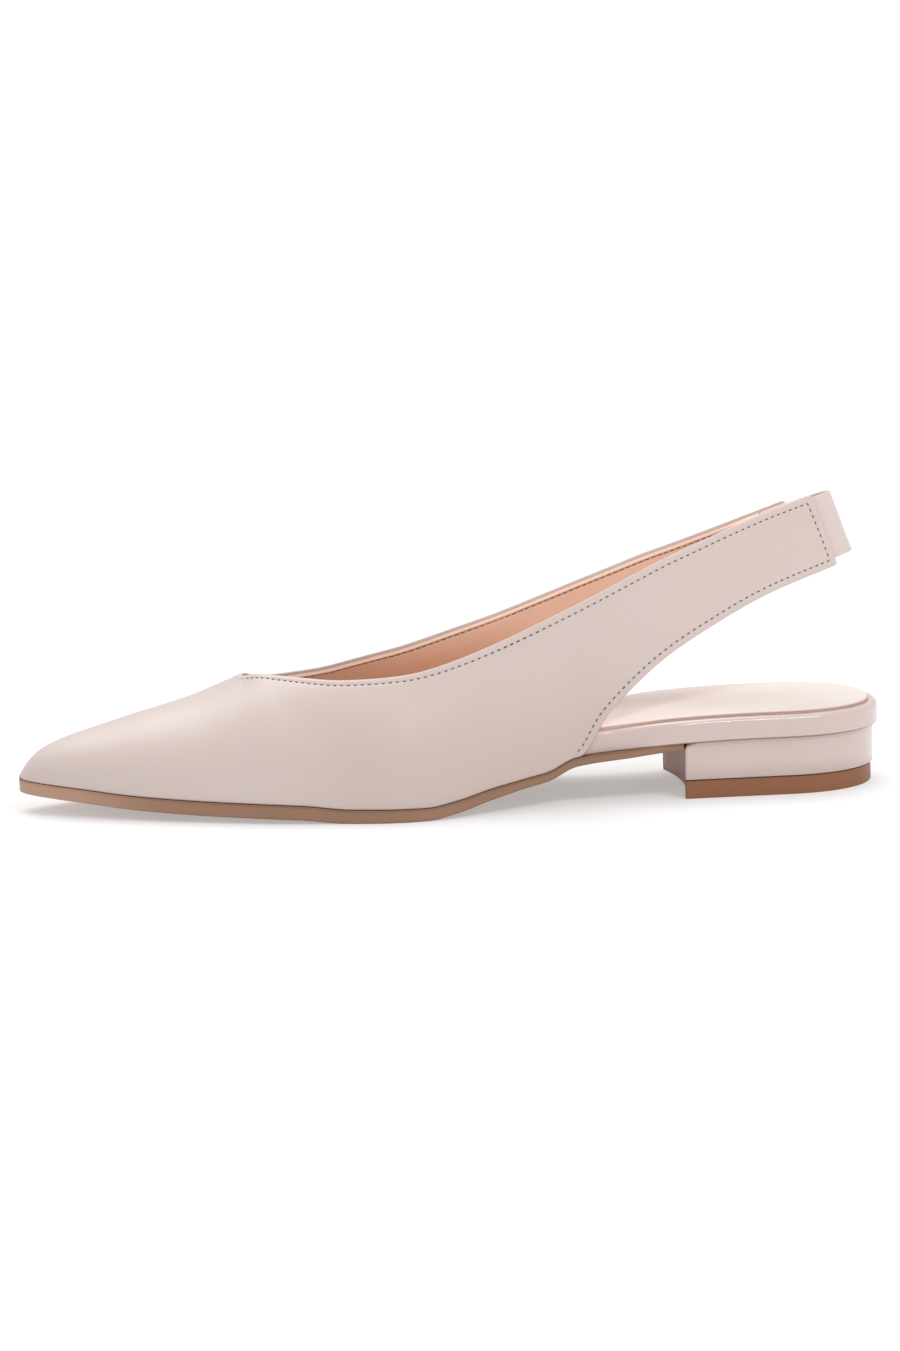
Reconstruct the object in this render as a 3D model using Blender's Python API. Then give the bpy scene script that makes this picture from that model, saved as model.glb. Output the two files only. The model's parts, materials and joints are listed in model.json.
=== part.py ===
"""Sling back flat, left shoe, at its real size in metres, +Z up.

The toe points to -X and the lateral (outer) side is -Y. Every form is worked out along the shoe from the toe
tip, with y across from the line through heel and throat. An empty carries the pieces and puts the middle of
the shoe's box on the origin, with the floor at z = 0.
"""

from collections import namedtuple
import math

import bmesh
import bpy
import numpy as np

# Driving dimensions
LENGTH = 0.262
BALL_WIDTH = 0.0784
HEEL_WIDTH = 0.053
INSTEP_RISE = 0.0342
STRAP_RISE = 0.0708
MEDIAL_SHORTFALL = 0.0045
TOE_SPRING = 0.0062
HEEL_HEIGHT = 0.0186
HEEL_LENGTH = 0.0622
HEEL_TAPER = 0.0012
BREAST_DEPTH = 0.0030
OUTSOLE_THICK = 0.0038
TOP_PIECE_THICK = 0.0056
BOARD_THICK = 0.0030
PLATFORM_THICK = 0.0066
SOCK_THICK = 0.0009
SOCK_MARGIN = 0.0013
SOCK_SETBACK = 0.0016
RAND_PROUD = 0.0010
FEATHER_MARGIN = 0.0004
TOE_ROOM = 0.0018
OUTER_PLY = 0.0009
LINING_PLY = 0.0007
WALL_FULLNESS = 0.0013
ELASTIC_WIDTH = 0.0200
ELASTIC_THICK = 0.0011
ELASTIC_HOLD = 0.0090
POCKET_THICKENS = 0.0234
POCKET_FULL = 0.0108
LOOP_DEPTH = 0.0090
CLEARANCE = 0.0003

# Where things change along the shoe, as shares of its length from the toe. VAMP_FULL counts stations instead,
# from -1 at the toe tip to 0 at the throat, and ELASTIC_CENTRE is a share of the strap end's width.
THROAT = 0.262
BALL = 0.38
LIFT_START = 0.44
WAIST = 0.65
SEAT = 0.76
QUARTER_END = 0.676
SEAT_ROUND = 0.57
SEAT_POWER = 2.15
CREST_TIP = 0.051
CREST_THROAT = 0.038
VAMP_FULL = -0.4
LEAST_SWEEP = math.radians(12)
ELASTIC_CENTRE = 0.515

WALL = OUTER_PLY + LINING_PLY
POCKET_WALL = WALL + ELASTIC_THICK + 2 * CLEARANCE
INSIDE_MARGIN = FEATHER_MARGIN + WALL + CLEARANCE
MERGE = 1e-6
TINY = 1e-12

# Plan of the sole: the two edges are shares of the local width, + towards the medial side
Plan = namedtuple("Plan", "along lateral medial")
PLAN = [
    Plan(0.0000, 0.051, 0.051),
    Plan(0.0115, -0.026, 0.121),
    Plan(0.0305, -0.077, 0.166),
    Plan(0.0573, -0.134, 0.211),
    Plan(0.0954, -0.198, 0.262),
    Plan(0.1527, -0.285, 0.325),
    Plan(0.2290, -0.378, 0.403),
    Plan(0.3050, -0.454, 0.459),
    Plan(0.3800, -0.503, 0.472),
    Plan(0.4275, -0.538, 0.460),
    Plan(0.4960, -0.563, 0.436),
    Plan(0.5725, -0.566, 0.434),
    Plan(0.6490, -0.535, 0.434),
    Plan(0.7250, -0.508, 0.443),
    Plan(0.8015, -0.500, 0.481),
    Plan(0.8780, -0.500, 0.500),
    Plan(1.0000, -0.500, 0.500),
]

# Side of the sole: spring is a share of TOE_SPRING, arch of HEEL_HEIGHT and thick of OUTSOLE_THICK
Profile = namedtuple("Profile", "along spring arch thick")
PROFILE = [
    Profile(0.000, 1.00, 0.000, 0.95),
    Profile(0.070, 0.78, 0.000, 0.98),
    Profile(0.120, 0.57, 0.000, 1.00),
    Profile(0.204, 0.36, 0.000, 1.04),
    Profile(0.319, 0.18, 0.000, 1.05),
    Profile(0.374, 0.00, 0.000, 1.00),
    Profile(0.458, 0.00, 0.000, 0.92),
    Profile(0.496, 0.00, 0.086, 0.88),
    Profile(0.534, 0.00, 0.236, 0.80),
    Profile(0.576, 0.00, 0.375, 0.66),
    Profile(0.603, 0.00, 0.448, 0.64),
    Profile(0.637, 0.00, 0.648, 0.62),
    Profile(0.698, 0.00, 0.732, 0.58),
    Profile(0.760, 0.00, 0.812, 0.56),
    Profile(0.840, 0.00, 0.838, 0.56),
    Profile(1.000, 0.00, 0.842, 0.56),
]

# Crest of the vamp above the feather line, a share of INSTEP_RISE
Crest = namedtuple("Crest", "along rise")
CREST = [
    Crest(0.0000, 0.000),
    Crest(0.0038, 0.072),
    Crest(0.0110, 0.154),
    Crest(0.0233, 0.250),
    Crest(0.0470, 0.354),
    Crest(0.0940, 0.499),
    Crest(0.1410, 0.631),
    Crest(0.1875, 0.742),
    Crest(0.2200, 0.834),
    Crest(THROAT, 0.981),
]

# Sections of the quarters and straps from the throat back. Along and top_along are shares of LENGTH. The foot
# rises above the feather line by a share of STRAP_RISE, and the top above the seat line by a share of the
# local height. foot_out is a share of HEEL_WIDTH, with None where the foot stands on the sole, and top_out is
# a share of the local width from the middle line, fullness a share of WALL_FULLNESS.
Section = namedtuple("Section", "along foot_rise foot_out top_along top_rise top_out fullness")
LATERAL = [
    Section(0.2620, 0.000, None, 0.2620, 0.995, -0.038, 1.00),
    Section(0.2696, 0.000, None, 0.2696, 1.012, 0.041, 1.00),
    Section(0.2884, 0.000, None, 0.2884, 1.008, 0.112, 1.00),
    Section(0.3210, 0.000, None, 0.3210, 0.968, 0.202, 1.00),
    Section(0.3720, 0.000, None, 0.3664, 0.926, 0.293, 1.00),
    Section(0.4470, 0.000, None, 0.4313, 0.876, 0.362, 1.00),
    Section(0.5270, 0.000, None, 0.5000, 0.868, 0.434, 0.90),
    Section(0.5950, 0.000, None, 0.5573, 0.862, 0.494, 0.75),
    Section(0.6400, 0.000, None, 0.5992, 0.858, 0.527, 0.60),
    Section(0.6756, 0.169, 0.532, 0.6450, 0.859, 0.538, 0.45),
    Section(0.7271, 0.336, 0.526, 0.7023, 0.879, 0.517, 0.35),
    Section(0.7901, 0.473, 0.483, 0.7672, 0.925, 0.468, 0.25),
    Section(0.8721, 0.609, 0.374, 0.8454, 0.977, 0.372, 0.15),
    Section(0.9542, 0.698, 0.217, 0.9244, 0.998, 0.226, 0.10),
]
MEDIAL = [
    Section(0.2620, 0.000, None, 0.2620, 0.995, 0.038, 1.00),
    Section(0.2696, 0.000, None, 0.2696, 0.955, 0.121, 1.00),
    Section(0.2884, 0.000, None, 0.2884, 0.889, 0.199, 1.00),
    Section(0.3210, 0.000, None, 0.3210, 0.836, 0.293, 1.00),
    Section(0.3720, 0.000, None, 0.3664, 0.831, 0.338, 1.00),
    Section(0.4470, 0.000, None, 0.4313, 0.850, 0.350, 1.00),
    Section(0.5270, 0.000, None, 0.5000, 0.857, 0.386, 1.10),
    Section(0.5950, 0.000, None, 0.5573, 0.832, 0.434, 1.30),
    Section(0.6400, 0.000, None, 0.5992, 0.814, 0.466, 1.30),
    Section(0.6756, 0.164, 0.464, 0.6450, 0.802, 0.481, 0.80),
    Section(0.7271, 0.316, 0.468, 0.7023, 0.800, 0.472, 0.40),
    Section(0.7901, 0.428, 0.440, 0.7672, 0.829, 0.442, 0.25),
    Section(0.8721, 0.560, 0.347, 0.8454, 0.880, 0.351, 0.15),
    Section(0.9542, 0.642, 0.219, 0.9244, 0.935, 0.226, 0.10),
]
SHORTFALL_START = 0.70

# Lines across the sole that every piece lying on it shares, closer together at the step in its profile
Lines = namedtuple("Lines", "start end count")
SHARED_LINES = [
    Lines(0.050, 0.374, 10),
    Lines(0.402, 0.458, 3),
    Lines(0.477, 0.592, 7),
    Lines(0.603, 0.645, 7),
    Lines(0.670, 0.900, 8),
]

# Fineness of the facets
EDGE_SAMPLES = 400
VAMP_STATIONS = 15
STEPS_PER_SECTION = 2
WALL_ROWS = 12
ROUND_STEPS = 5
TOE_TURN = 0.012
SEAT_TURN = 0.024
SLAB_COLUMNS = 6
LOOP_STATIONS = 22
BAND_ROWS = 5
HOLD_STATIONS = 5

ANGLE_SMOOTH = math.radians(40)

Finish = namedtuple("Finish", "name colour roughness metallic")
UPPER_LEATHER = Finish("rose_leather", (0.66, 0.52, 0.49), 0.42, 0.0)
RAND_LEATHER = Finish("rose_glazed_leather", (0.68, 0.54, 0.51), 0.25, 0.0)
OUTSOLE_RESIN = Finish("tan_resin", (0.33, 0.20, 0.13), 0.50, 0.0)
TOP_PIECE_RUBBER = Finish("brown_rubber", (0.26, 0.12, 0.06), 0.55, 0.0)
SOCK_LEATHER = Finish("cream_lining_leather", (0.84, 0.74, 0.68), 0.60, 0.0)
ELASTIC_WEB = Finish("rose_elastic", (0.68, 0.54, 0.50), 0.75, 0.0)


def column(rows, name):
    """One column of a table as an array."""
    return np.array([getattr(row, name) for row in rows], dtype=float)


def smooth_step(low, high, value):
    """0 up to low, 1 from high on, with no corner at either."""
    t = np.clip((np.asarray(value, dtype=float) - low) / (high - low), 0.0, 1.0)
    return t * t * (3.0 - 2.0 * t)


def mix(first, second, share):
    """first where share is 0, second where it is 1."""
    return first + (second - first) * share


def fair_curve(knots, values, at):
    """Natural cubic spline through the rows: slope and curvature run on through each row."""
    knots, values, at = (np.asarray(a, dtype=float) for a in (knots, values, at))
    step = np.diff(knots)
    slope = np.diff(values) / step
    count = len(knots)
    matrix = np.eye(count)
    right = np.zeros(count)
    for i in range(1, count - 1):
        matrix[i, i - 1:i + 2] = (step[i - 1], 2.0 * (step[i - 1] + step[i]), step[i])
        right[i] = 6.0 * (slope[i] - slope[i - 1])
    bend = np.linalg.solve(matrix, right)
    i = np.clip(np.searchsorted(knots, at, side="right") - 1, 0, count - 2)
    after = at - knots[i]
    before = knots[i + 1] - at
    curved = (bend[i] * before ** 3 + bend[i + 1] * after ** 3) / (6.0 * step[i])
    straight = (values[i] / step[i] - bend[i] * step[i] / 6.0) * before
    return curved + straight + (values[i + 1] / step[i] - bend[i + 1] * step[i] / 6.0) * after


def steady_curve(knots, values, at):
    """Cubic through the rows that never passes a row's value, so a flat between equal rows stays flat."""
    knots, values, at = (np.asarray(a, dtype=float) for a in (knots, values, at))
    step = np.diff(knots)
    slope = np.diff(values) / step
    tangent = np.zeros(len(knots))
    same_way = slope[:-1] * slope[1:] > 0.0
    near = 2.0 * step[1:] + step[:-1]
    far = step[1:] + 2.0 * step[:-1]
    with np.errstate(divide="ignore", invalid="ignore"):
        blend = (near + far) / (near / slope[:-1] + far / slope[1:])
    tangent[1:-1] = np.where(same_way, blend, 0.0)
    tangent[0], tangent[-1] = slope[0], slope[-1]
    i = np.clip(np.searchsorted(knots, at, side="right") - 1, 0, len(knots) - 2)
    t = (at - knots[i]) / step[i]
    start = values[i] * (1.0 + 2.0 * t) * (1.0 - t) ** 2 + tangent[i] * step[i] * t * (1.0 - t) ** 2
    end = values[i + 1] * t * t * (3.0 - 2.0 * t) + tangent[i + 1] * step[i] * t * t * (t - 1.0)
    return start + end


def local_width(along):
    """Width that the plan's shares follow: the ball's in front, the heel's from the waist back."""
    return mix(BALL_WIDTH, HEEL_WIDTH, smooth_step(BALL, WAIST, along))


def local_height(along):
    """Height that the topline's shares follow, from the instep's at the throat to the strap's at its end."""
    return mix(INSTEP_RISE, STRAP_RISE, (along - THROAT) / (LATERAL[-1].top_along - THROAT))


def ground(along):
    """Height of the outsole's underside: toe spring, a flat at the ball, then the arch."""
    spring = steady_curve(column(PROFILE, "along"), column(PROFILE, "spring"), along)
    arch = steady_curve(column(PROFILE, "along"), column(PROFILE, "arch"), along)
    return TOE_SPRING * spring + HEEL_HEIGHT * arch


def feather(along):
    """Height of the line where upper, rand and heel meet the outsole's top."""
    thick = steady_curve(column(PROFILE, "along"), column(PROFILE, "thick"), along)
    return ground(along) + OUTSOLE_THICK * thick


def seat_line(along):
    """Smooth line under the topline: the feather line without its step at the quarters' end."""
    spring = steady_curve(column(PROFILE, "along"), column(PROFILE, "spring"), along)
    lifted = smooth_step(LIFT_START, SEAT, along)
    return TOE_SPRING * spring + mix(OUTSOLE_THICK, HEEL_HEIGHT, lifted)


def crest_out(along):
    """Where the vamp's crest lies across the shoe: it swings to the medial side at the toe."""
    return local_width(along) * mix(CREST_TIP, CREST_THROAT, np.clip(along / THROAT, 0.0, 1.0))


def plan_edge(side, along):
    """One edge of the sole's plan, a spline over the root of the length so that the toe is round."""
    shares = fair_curve(np.sqrt(column(PLAN, "along")), column(PLAN, side), np.sqrt(along))
    seat_depth = SEAT_ROUND * HEEL_WIDTH / LENGTH
    turn = np.clip((along - 1.0 + seat_depth) / seat_depth, 0.0, 1.0)
    return shares * local_width(along) * (1.0 - turn ** SEAT_POWER) ** (1.0 / SEAT_POWER)


def inset_edge(side, margin):
    """The plan's edge moved inwards by a margin, which may change along it, as xs and ys in order."""
    along = 0.5 - 0.5 * np.cos(np.linspace(0.0, math.pi, EDGE_SAMPLES))
    margin = margin(along) if callable(margin) else np.full_like(along, margin)
    x, y = along * LENGTH, plan_edge(side, along)
    run_x, run_y = np.gradient(x), np.gradient(y)
    run = np.hypot(run_x, run_y)
    inwards = 1.0 if side == "lateral" else -1.0
    normal_x, normal_y = -run_y / run * inwards, run_x / run * inwards
    normal_x[0], normal_y[0] = 1.0, 0.0
    normal_x[-1], normal_y[-1] = -1.0, 0.0
    return x + normal_x * margin, y + normal_y * margin


def make_material(finish):
    """Principled material of a finish, made once."""
    material = bpy.data.materials.get(finish.name) or bpy.data.materials.new(finish.name)
    material.use_nodes = True
    shader = material.node_tree.nodes["Principled BSDF"]
    shader.inputs["Base Color"].default_value = (*finish.colour, 1.0)
    shader.inputs["Roughness"].default_value = finish.roughness
    shader.inputs["Metallic"].default_value = finish.metallic
    return material


def add_piece(name, finish, points, faces):
    """Object from points and faces, with doubled points merged and the faces turned out."""
    mesh = bpy.data.meshes.new(name)
    work = bmesh.new()
    corners = [work.verts.new(tuple(point)) for point in points]
    for face in faces:
        work.faces.new([corners[i] for i in face])
    bmesh.ops.remove_doubles(work, verts=work.verts, dist=MERGE)
    bmesh.ops.triangulate(work, faces=work.faces)
    bmesh.ops.recalc_face_normals(work, faces=work.faces)
    work.to_mesh(mesh)
    work.free()
    mesh.shade_smooth()
    mesh.set_sharp_from_angle(angle=ANGLE_SMOOTH)
    mesh.materials.append(make_material(finish))
    piece = bpy.data.objects.new(name, mesh)
    bpy.context.scene.collection.objects.link(piece)
    return piece


def grid_faces(numbers):
    """Quads over a grid of point numbers."""
    rows, columns = numbers.shape
    return [
        (numbers[i, j], numbers[i + 1, j], numbers[i + 1, j + 1], numbers[i, j + 1])
        for i in range(rows - 1)
        for j in range(columns - 1)
    ]


def rim_loop(numbers):
    """Point numbers round the edge of a grid, in order."""
    first = list(numbers[:, 0]) + list(numbers[-1, 1:])
    return first + list(numbers[-2::-1, -1]) + list(numbers[0, -2:0:-1])


def belt_faces(lower, upper):
    """Quads between two closed loops of as many points."""
    count = len(lower)
    return [(lower[i], lower[(i + 1) % count], upper[(i + 1) % count], upper[i]) for i in range(count)]


def closed_grids(name, finish, low, high):
    """Solid between two grids of points, closed round their rims."""
    points = np.concatenate([low.reshape(-1, 3), high.reshape(-1, 3)])
    numbers = np.arange(low.shape[0] * low.shape[1]).reshape(low.shape[:2])
    above = numbers + numbers.size
    faces = grid_faces(numbers) + [face[::-1] for face in grid_faces(above)]
    return add_piece(name, finish, points, faces + belt_faces(rim_loop(numbers), rim_loop(above)))


def breast_line(across, clear):
    """Concave curve of the heel breast: across runs from -1 lateral to 1 medial."""
    return LENGTH - HEEL_LENGTH + BREAST_DEPTH * (1.0 - across ** 2) + clear


def lines_across(first, last):
    """Distances along for a slab from first to last: the shared lines, and closer ones where an end turns."""
    shared = np.concatenate([np.linspace(*lines) for lines in SHARED_LINES]) * LENGTH
    turn = 1.0 - np.cos(np.linspace(0.0, math.pi / 2.0, ROUND_STEPS + 1))
    toe, seat = first + TOE_TURN * turn[:-1], last - SEAT_TURN * turn[-2::-1]
    between = shared[(shared > first + TOE_TURN) & (shared < last - SEAT_TURN)]
    return np.concatenate([toe, between, seat])


def slab_grid(margin, height, front=None, back=None):
    """Grid over the sole's plan, drawn in by a margin, at a height that depends on how far along it is.

    front and back give the line where the slab is cut off, for each place across from -1 lateral to 1 medial.
    """
    edges = [inset_edge(side, margin) for side in ("lateral", "medial")]
    across = np.linspace(-1.0, 1.0, SLAB_COLUMNS + 1)
    x = lines_across(edges[0][0][0], edges[0][0][-1])[:, None] + np.zeros_like(across)
    if front is not None:
        x = np.maximum(x, front(across))
        x = x[np.flatnonzero(np.diff(x, axis=0).max(axis=1) > 0.0)[0]:]
    if back is not None:
        x = np.minimum(x, back(across))
        x = x[:np.flatnonzero(np.diff(x, axis=0).max(axis=1) > 0.0)[-1] + 2]
    lateral = np.interp(x, *edges[0])
    medial = np.interp(x, *edges[1])
    y = mix(lateral, medial, (across + 1.0) / 2.0)
    return np.stack([x, y, height(x / LENGTH)], axis=-1)


def make_outsole():
    """Thin unit from toe tip to heel breast, cut to the breast's curve."""
    end = lambda across: breast_line(across, -CLEARANCE)
    grids = [slab_grid(0.0, height, back=end) for height in (ground, feather)]
    return closed_grids("outsole", OUTSOLE_RESIN, *grids)


def heel_block(name, finish, low, high, taper_low, taper_high):
    """Slice of the heel between two heights, its plan drawn in from the seat by a taper at each."""
    front = lambda across: breast_line(across, 0.0)
    grids = []
    for height, taper in ((low, taper_low), (high, taper_high)):
        grids.append(slab_grid(taper, height, front=front))
    return closed_grids(name, finish, *grids)


def make_top_piece():
    """Rubber top piece, flush with the foot of the heel."""
    low = lambda along: np.zeros_like(along)
    high = lambda along: np.full_like(along, TOP_PIECE_THICK)
    return heel_block("top_piece", TOP_PIECE_RUBBER, low, high, HEEL_TAPER, HEEL_TAPER)


def make_heel():
    """Leather covered heel from the top piece up to the heel seat."""
    low = lambda along: np.full_like(along, TOP_PIECE_THICK + CLEARANCE)
    return heel_block("heel", UPPER_LEATHER, low, feather, HEEL_TAPER, 0.0)


def platform_thick(along):
    """Thickness of the insole: a board in the forefoot, a raised platform under waist and heel."""
    return mix(BOARD_THICK, PLATFORM_THICK, smooth_step(BALL, WAIST, along))


def insole_margin(along):
    """The insole lies inside the upper's wall, and stands proud of the heel as its rand behind the quarters."""
    toe_room = TOE_ROOM * (1.0 - smooth_step(0.0, BALL, along))
    return mix(INSIDE_MARGIN + toe_room, -RAND_PROUD, smooth_step(QUARTER_END, SEAT, along))


def sock_margin(along):
    """Margin of the sock's edge: set in a little more at the toe, and from the rand's edge at the heel."""
    at_toe = 2.0 - smooth_step(0.0, BALL, along)
    return insole_margin(along) + SOCK_MARGIN * at_toe + SOCK_SETBACK * smooth_step(QUARTER_END, SEAT, along)


def make_insole():
    """Board and covered platform on the outsole and heel seat."""
    low = lambda along: feather(along) + CLEARANCE
    high = lambda along: low(along) + platform_thick(along)
    grids = [slab_grid(insole_margin, height) for height in (low, high)]
    return closed_grids("insole", RAND_LEATHER, *grids)


def make_sock():
    """Sock lining on the insole."""
    low = lambda along: feather(along) + platform_thick(along) + 2.0 * CLEARANCE
    high = lambda along: low(along) + SOCK_THICK
    grids = [slab_grid(sock_margin, height) for height in (low, high)]
    return closed_grids("sock", SOCK_LEATHER, *grids)


class SideWall:
    """Outer surface of one side of the upper, from the toe tip to the end of its strap.

    A section runs from the foot, on the feather line or the strap's lower edge, to the top, on the crest or
    the topline. It is part of an ellipse that would stand upright at the foot and lie level at the crest.
    """

    def __init__(self, side):
        self.side = side
        self.rows = LATERAL if side == "lateral" else MEDIAL
        self.way = -1.0 if side == "lateral" else 1.0
        self.last = len(self.rows) - 1

    def row_curve(self, name, at, mirror=None):
        """A column of the side's table as a fair curve over the row number, mirrored in front of the throat."""
        values = column(self.rows, name)
        ahead = values[1:4][::-1] if mirror is None else mirror
        knots = np.arange(-3, len(values))
        return fair_curve(knots, np.concatenate([ahead, values]), at)

    def topline_out(self, at):
        """Share across of the topline, run on through the throat into the other side's."""
        other = MEDIAL if self.side == "lateral" else LATERAL
        ahead = -column(other, "top_out")[1:4][::-1]
        return self.row_curve("top_out", at, ahead)

    def foot_on_edge(self, at):
        """Distance across of the strap's lower edge, from the rows that stand clear of the sole."""
        clear = [(i, row.foot_out) for i, row in enumerate(self.rows) if row.foot_out is not None]
        knots = [number for number, _ in clear]
        shares = [share for _, share in clear]
        return HEEL_WIDTH * fair_curve(knots, shares, np.maximum(at, knots[0]))

    def foot_on_sole(self, along):
        """Distance across of the feather line."""
        x, y = inset_edge(self.side, FEATHER_MARGIN)
        return self.way * np.interp(along * LENGTH, x, y)

    def shortfall(self, along):
        """How much sooner the medial strap ends, as a share of the length."""
        if self.side == "lateral":
            return np.zeros_like(along)
        return MEDIAL_SHORTFALL / LENGTH * smooth_step(SHORTFALL_START, self.rows[-1].along, along)

    def ends(self, at):
        """Along, across and height of foot and top at quarter stations, 0 at the throat."""
        along = self.row_curve("along", at)
        rise = steady_curve(np.arange(len(self.rows)), column(self.rows, "foot_rise"), at)
        first_clear = next(i for i, row in enumerate(self.rows) if row.foot_out is not None)
        lifted = smooth_step(first_clear - 1.0, first_clear, at)
        out = mix(self.foot_on_sole(along), self.foot_on_edge(at), lifted)
        foot = [along - self.shortfall(along), out, feather(along) + CLEARANCE + STRAP_RISE * rise]
        top_along = self.row_curve("top_along", at)
        top_out = self.topline_out(at) * local_width(top_along)
        top_rise = self.row_curve("top_rise", at)
        height = seat_line(top_along) + local_height(top_along) * top_rise
        top = [top_along - self.shortfall(top_along), top_out, height]
        return foot, top

    def points(self, at, rows=None):
        """Grid of points: at counts quarter stations, with the vamp from -1 at the toe tip to 0."""
        at = np.asarray(at, dtype=float)
        v = np.linspace(0.0, 1.0, WALL_ROWS + 1) if rows is None else np.asarray(rows, dtype=float)
        vamp = THROAT * np.clip(1.0 + at, 0.0, 1.0) ** 2
        behind = np.maximum(at, 0.0)
        foot, top = self.ends(behind)
        crest = crest_out(np.where(at < 0.0, vamp, top[0]))
        in_front = at <= 0.0
        foot_along = np.where(in_front, vamp, foot[0])
        foot_y = np.where(in_front, self.foot_on_sole(vamp), foot[1])
        foot_z = np.where(in_front, feather(vamp) + CLEARANCE, foot[2])
        top_along = np.where(in_front, vamp, top[0])
        top_y = np.where(in_front, crest * self.way, top[1])
        ridge = fair_curve(np.sqrt(column(CREST, "along")), column(CREST, "rise"), np.sqrt(vamp))
        top_z = np.where(in_front, foot_z + INSTEP_RISE * ridge, top[2])
        reach = np.maximum(foot_y - crest * self.way, MERGE)
        cosine = np.clip((top_y - crest * self.way) / reach, 0.0, math.cos(LEAST_SWEEP))
        sweep = np.arccos(cosine)
        angle = sweep[:, None] * v
        g = np.sin(angle) / np.sin(sweep)[:, None]
        f = (1.0 - np.cos(angle)) / (1.0 - cosine)[:, None]
        full = WALL_FULLNESS * self.row_curve("fullness", behind)
        full = full * np.where(in_front, smooth_step(-1.0, VAMP_FULL, at), 1.0)
        along = mix(foot_along[:, None], top_along[:, None], g)
        out = mix(foot_y[:, None], top_y[:, None], f) + full[:, None] * 4.0 * g * (1.0 - g)
        height = mix(foot_z[:, None], top_z[:, None], g)
        return np.stack([along * LENGTH, self.way * out, height], axis=-1)

    def normals(self, points):
        """Unit normals out of the wall."""
        along, up = np.gradient(points, axis=0), np.gradient(points, axis=1)
        normal = np.cross(along, up) * -self.way
        normal /= np.maximum(np.linalg.norm(normal, axis=-1, keepdims=True), TINY)
        return normal

    def wall_thick(self, points):
        """Wall thickness: the two plies, and room for the elastic between them near the strap's end."""
        from_end = points[-1:, :, 0] - points[..., 0]
        pocket = 1.0 - smooth_step(POCKET_FULL, POCKET_THICKENS, from_end)
        return mix(WALL, POCKET_WALL, pocket)[..., None]


def upper_stations():
    """Station numbers from toe tip to strap end, closer together behind the throat."""
    vamp = np.linspace(-1.0, 0.0, VAMP_STATIONS + 1)
    quarter = np.linspace(0.0, len(LATERAL) - 1.0, STEPS_PER_SECTION * (len(LATERAL) - 1) + 1)
    return np.concatenate([vamp, quarter[1:]])


def wall_skins(wall, stations):
    """Outer and inner skins of one side, as two grids of points.

    The wall is as thick measured level along its foot and straight down along the crest, so that the inner skin
    stands on the sole and both sides meet.
    """
    outer = wall.points(stations)
    normal = wall.normals(outer)
    normal[:, 0, 2] = 0.0
    normal[:, 0] /= np.linalg.norm(normal[:, 0], axis=-1, keepdims=True) + TINY
    vamp = stations <= 0.0
    normal[vamp, -1, 1] = 0.0
    normal[vamp, -1] /= np.linalg.norm(normal[vamp, -1], axis=-1, keepdims=True) + TINY
    normal[0] = (-1.0, 0.0, 0.0)
    inner = outer - normal * wall.wall_thick(outer)
    return outer, inner


def make_upper():
    """Vamp, quarters and straps as one wall: two sides that share the crest as far as the throat."""
    stations = upper_stations()
    skins = [wall_skins(SideWall(side), stations) for side in ("lateral", "medial")]
    for first, second in zip(*skins):
        shared = (first[:VAMP_STATIONS + 1, -1] + second[:VAMP_STATIONS + 1, -1]) / 2.0
        first[:VAMP_STATIONS + 1, -1] = shared
        second[:VAMP_STATIONS + 1, -1] = shared
    grids = [grid for pair in skins for grid in pair]
    points = np.concatenate([grid.reshape(-1, 3) for grid in grids])
    size = grids[0].shape[0] * grids[0].shape[1]
    lateral = np.arange(size).reshape(grids[0].shape[:2])
    lateral_in, medial, medial_in = lateral + size, lateral + 2 * size, lateral + 3 * size
    faces = grid_faces(lateral) + grid_faces(lateral_in)[::-1]
    faces += grid_faces(medial) + grid_faces(medial_in)[::-1]
    for skin, lining in ((lateral, lateral_in), (medial, medial_in)):
        open_edge = list(skin[:, 0]) + list(skin[-1, 1:]) + list(skin[-2:VAMP_STATIONS - 1:-1, -1])
        open_in = list(lining[:, 0]) + list(lining[-1, 1:]) + list(lining[-2:VAMP_STATIONS - 1:-1, -1])
        faces += belt_faces(open_edge, open_in)[:-1]
    return add_piece("upper", UPPER_LEATHER, points, faces)


def held_band(wall, clear, past):
    """Grid through the middle of the pocket between the plies at a strap's end.

    Rows run across the elastic's width, grown by clear at each edge. The grid goes on past the strap's end.
    """
    last = float(wall.last)
    back_by = 0.5
    ends = wall.points([last - back_by, last], [0.0, 1.0])
    pitch = np.linalg.norm(ends[1] - ends[0], axis=-1).mean() / back_by
    strap_width = np.linalg.norm(ends[1, 1] - ends[1, 0])
    half = (ELASTIC_WIDTH / 2.0 + clear) / strap_width
    hold = (ELASTIC_HOLD + clear) / pitch
    stations = np.linspace(last - hold, last, HOLD_STATIONS)
    rows = ELASTIC_CENTRE + half * np.linspace(-1.0, 1.0, BAND_ROWS + 1)
    skin = wall.points(stations, rows)
    depth = OUTER_PLY + CLEARANCE + ELASTIC_THICK / 2.0
    normal = wall.normals(skin)
    middle = skin - normal * depth
    run = middle[-1] - middle[-2]
    run /= np.linalg.norm(run, axis=-1, keepdims=True)
    if past:
        middle = np.concatenate([middle, [middle[-1] + run * past]])
        normal = np.concatenate([normal, normal[-1:]])
    return middle, normal, run


def make_pocket_cutter(side):
    """Cutter for the pocket that holds one end of the elastic."""
    wall = SideWall(side)
    middle, normal, _ = held_band(wall, CLEARANCE, LOOP_DEPTH / 2.0)
    reach = ELASTIC_THICK / 2.0 + CLEARANCE
    skins = (middle - normal * reach, middle + normal * reach)
    cutter = closed_grids(f"{side}_pocket_cutter", ELASTIC_WEB, *skins)
    cutter.hide_render = True
    cutter.display_type = "WIRE"
    return cutter


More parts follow.
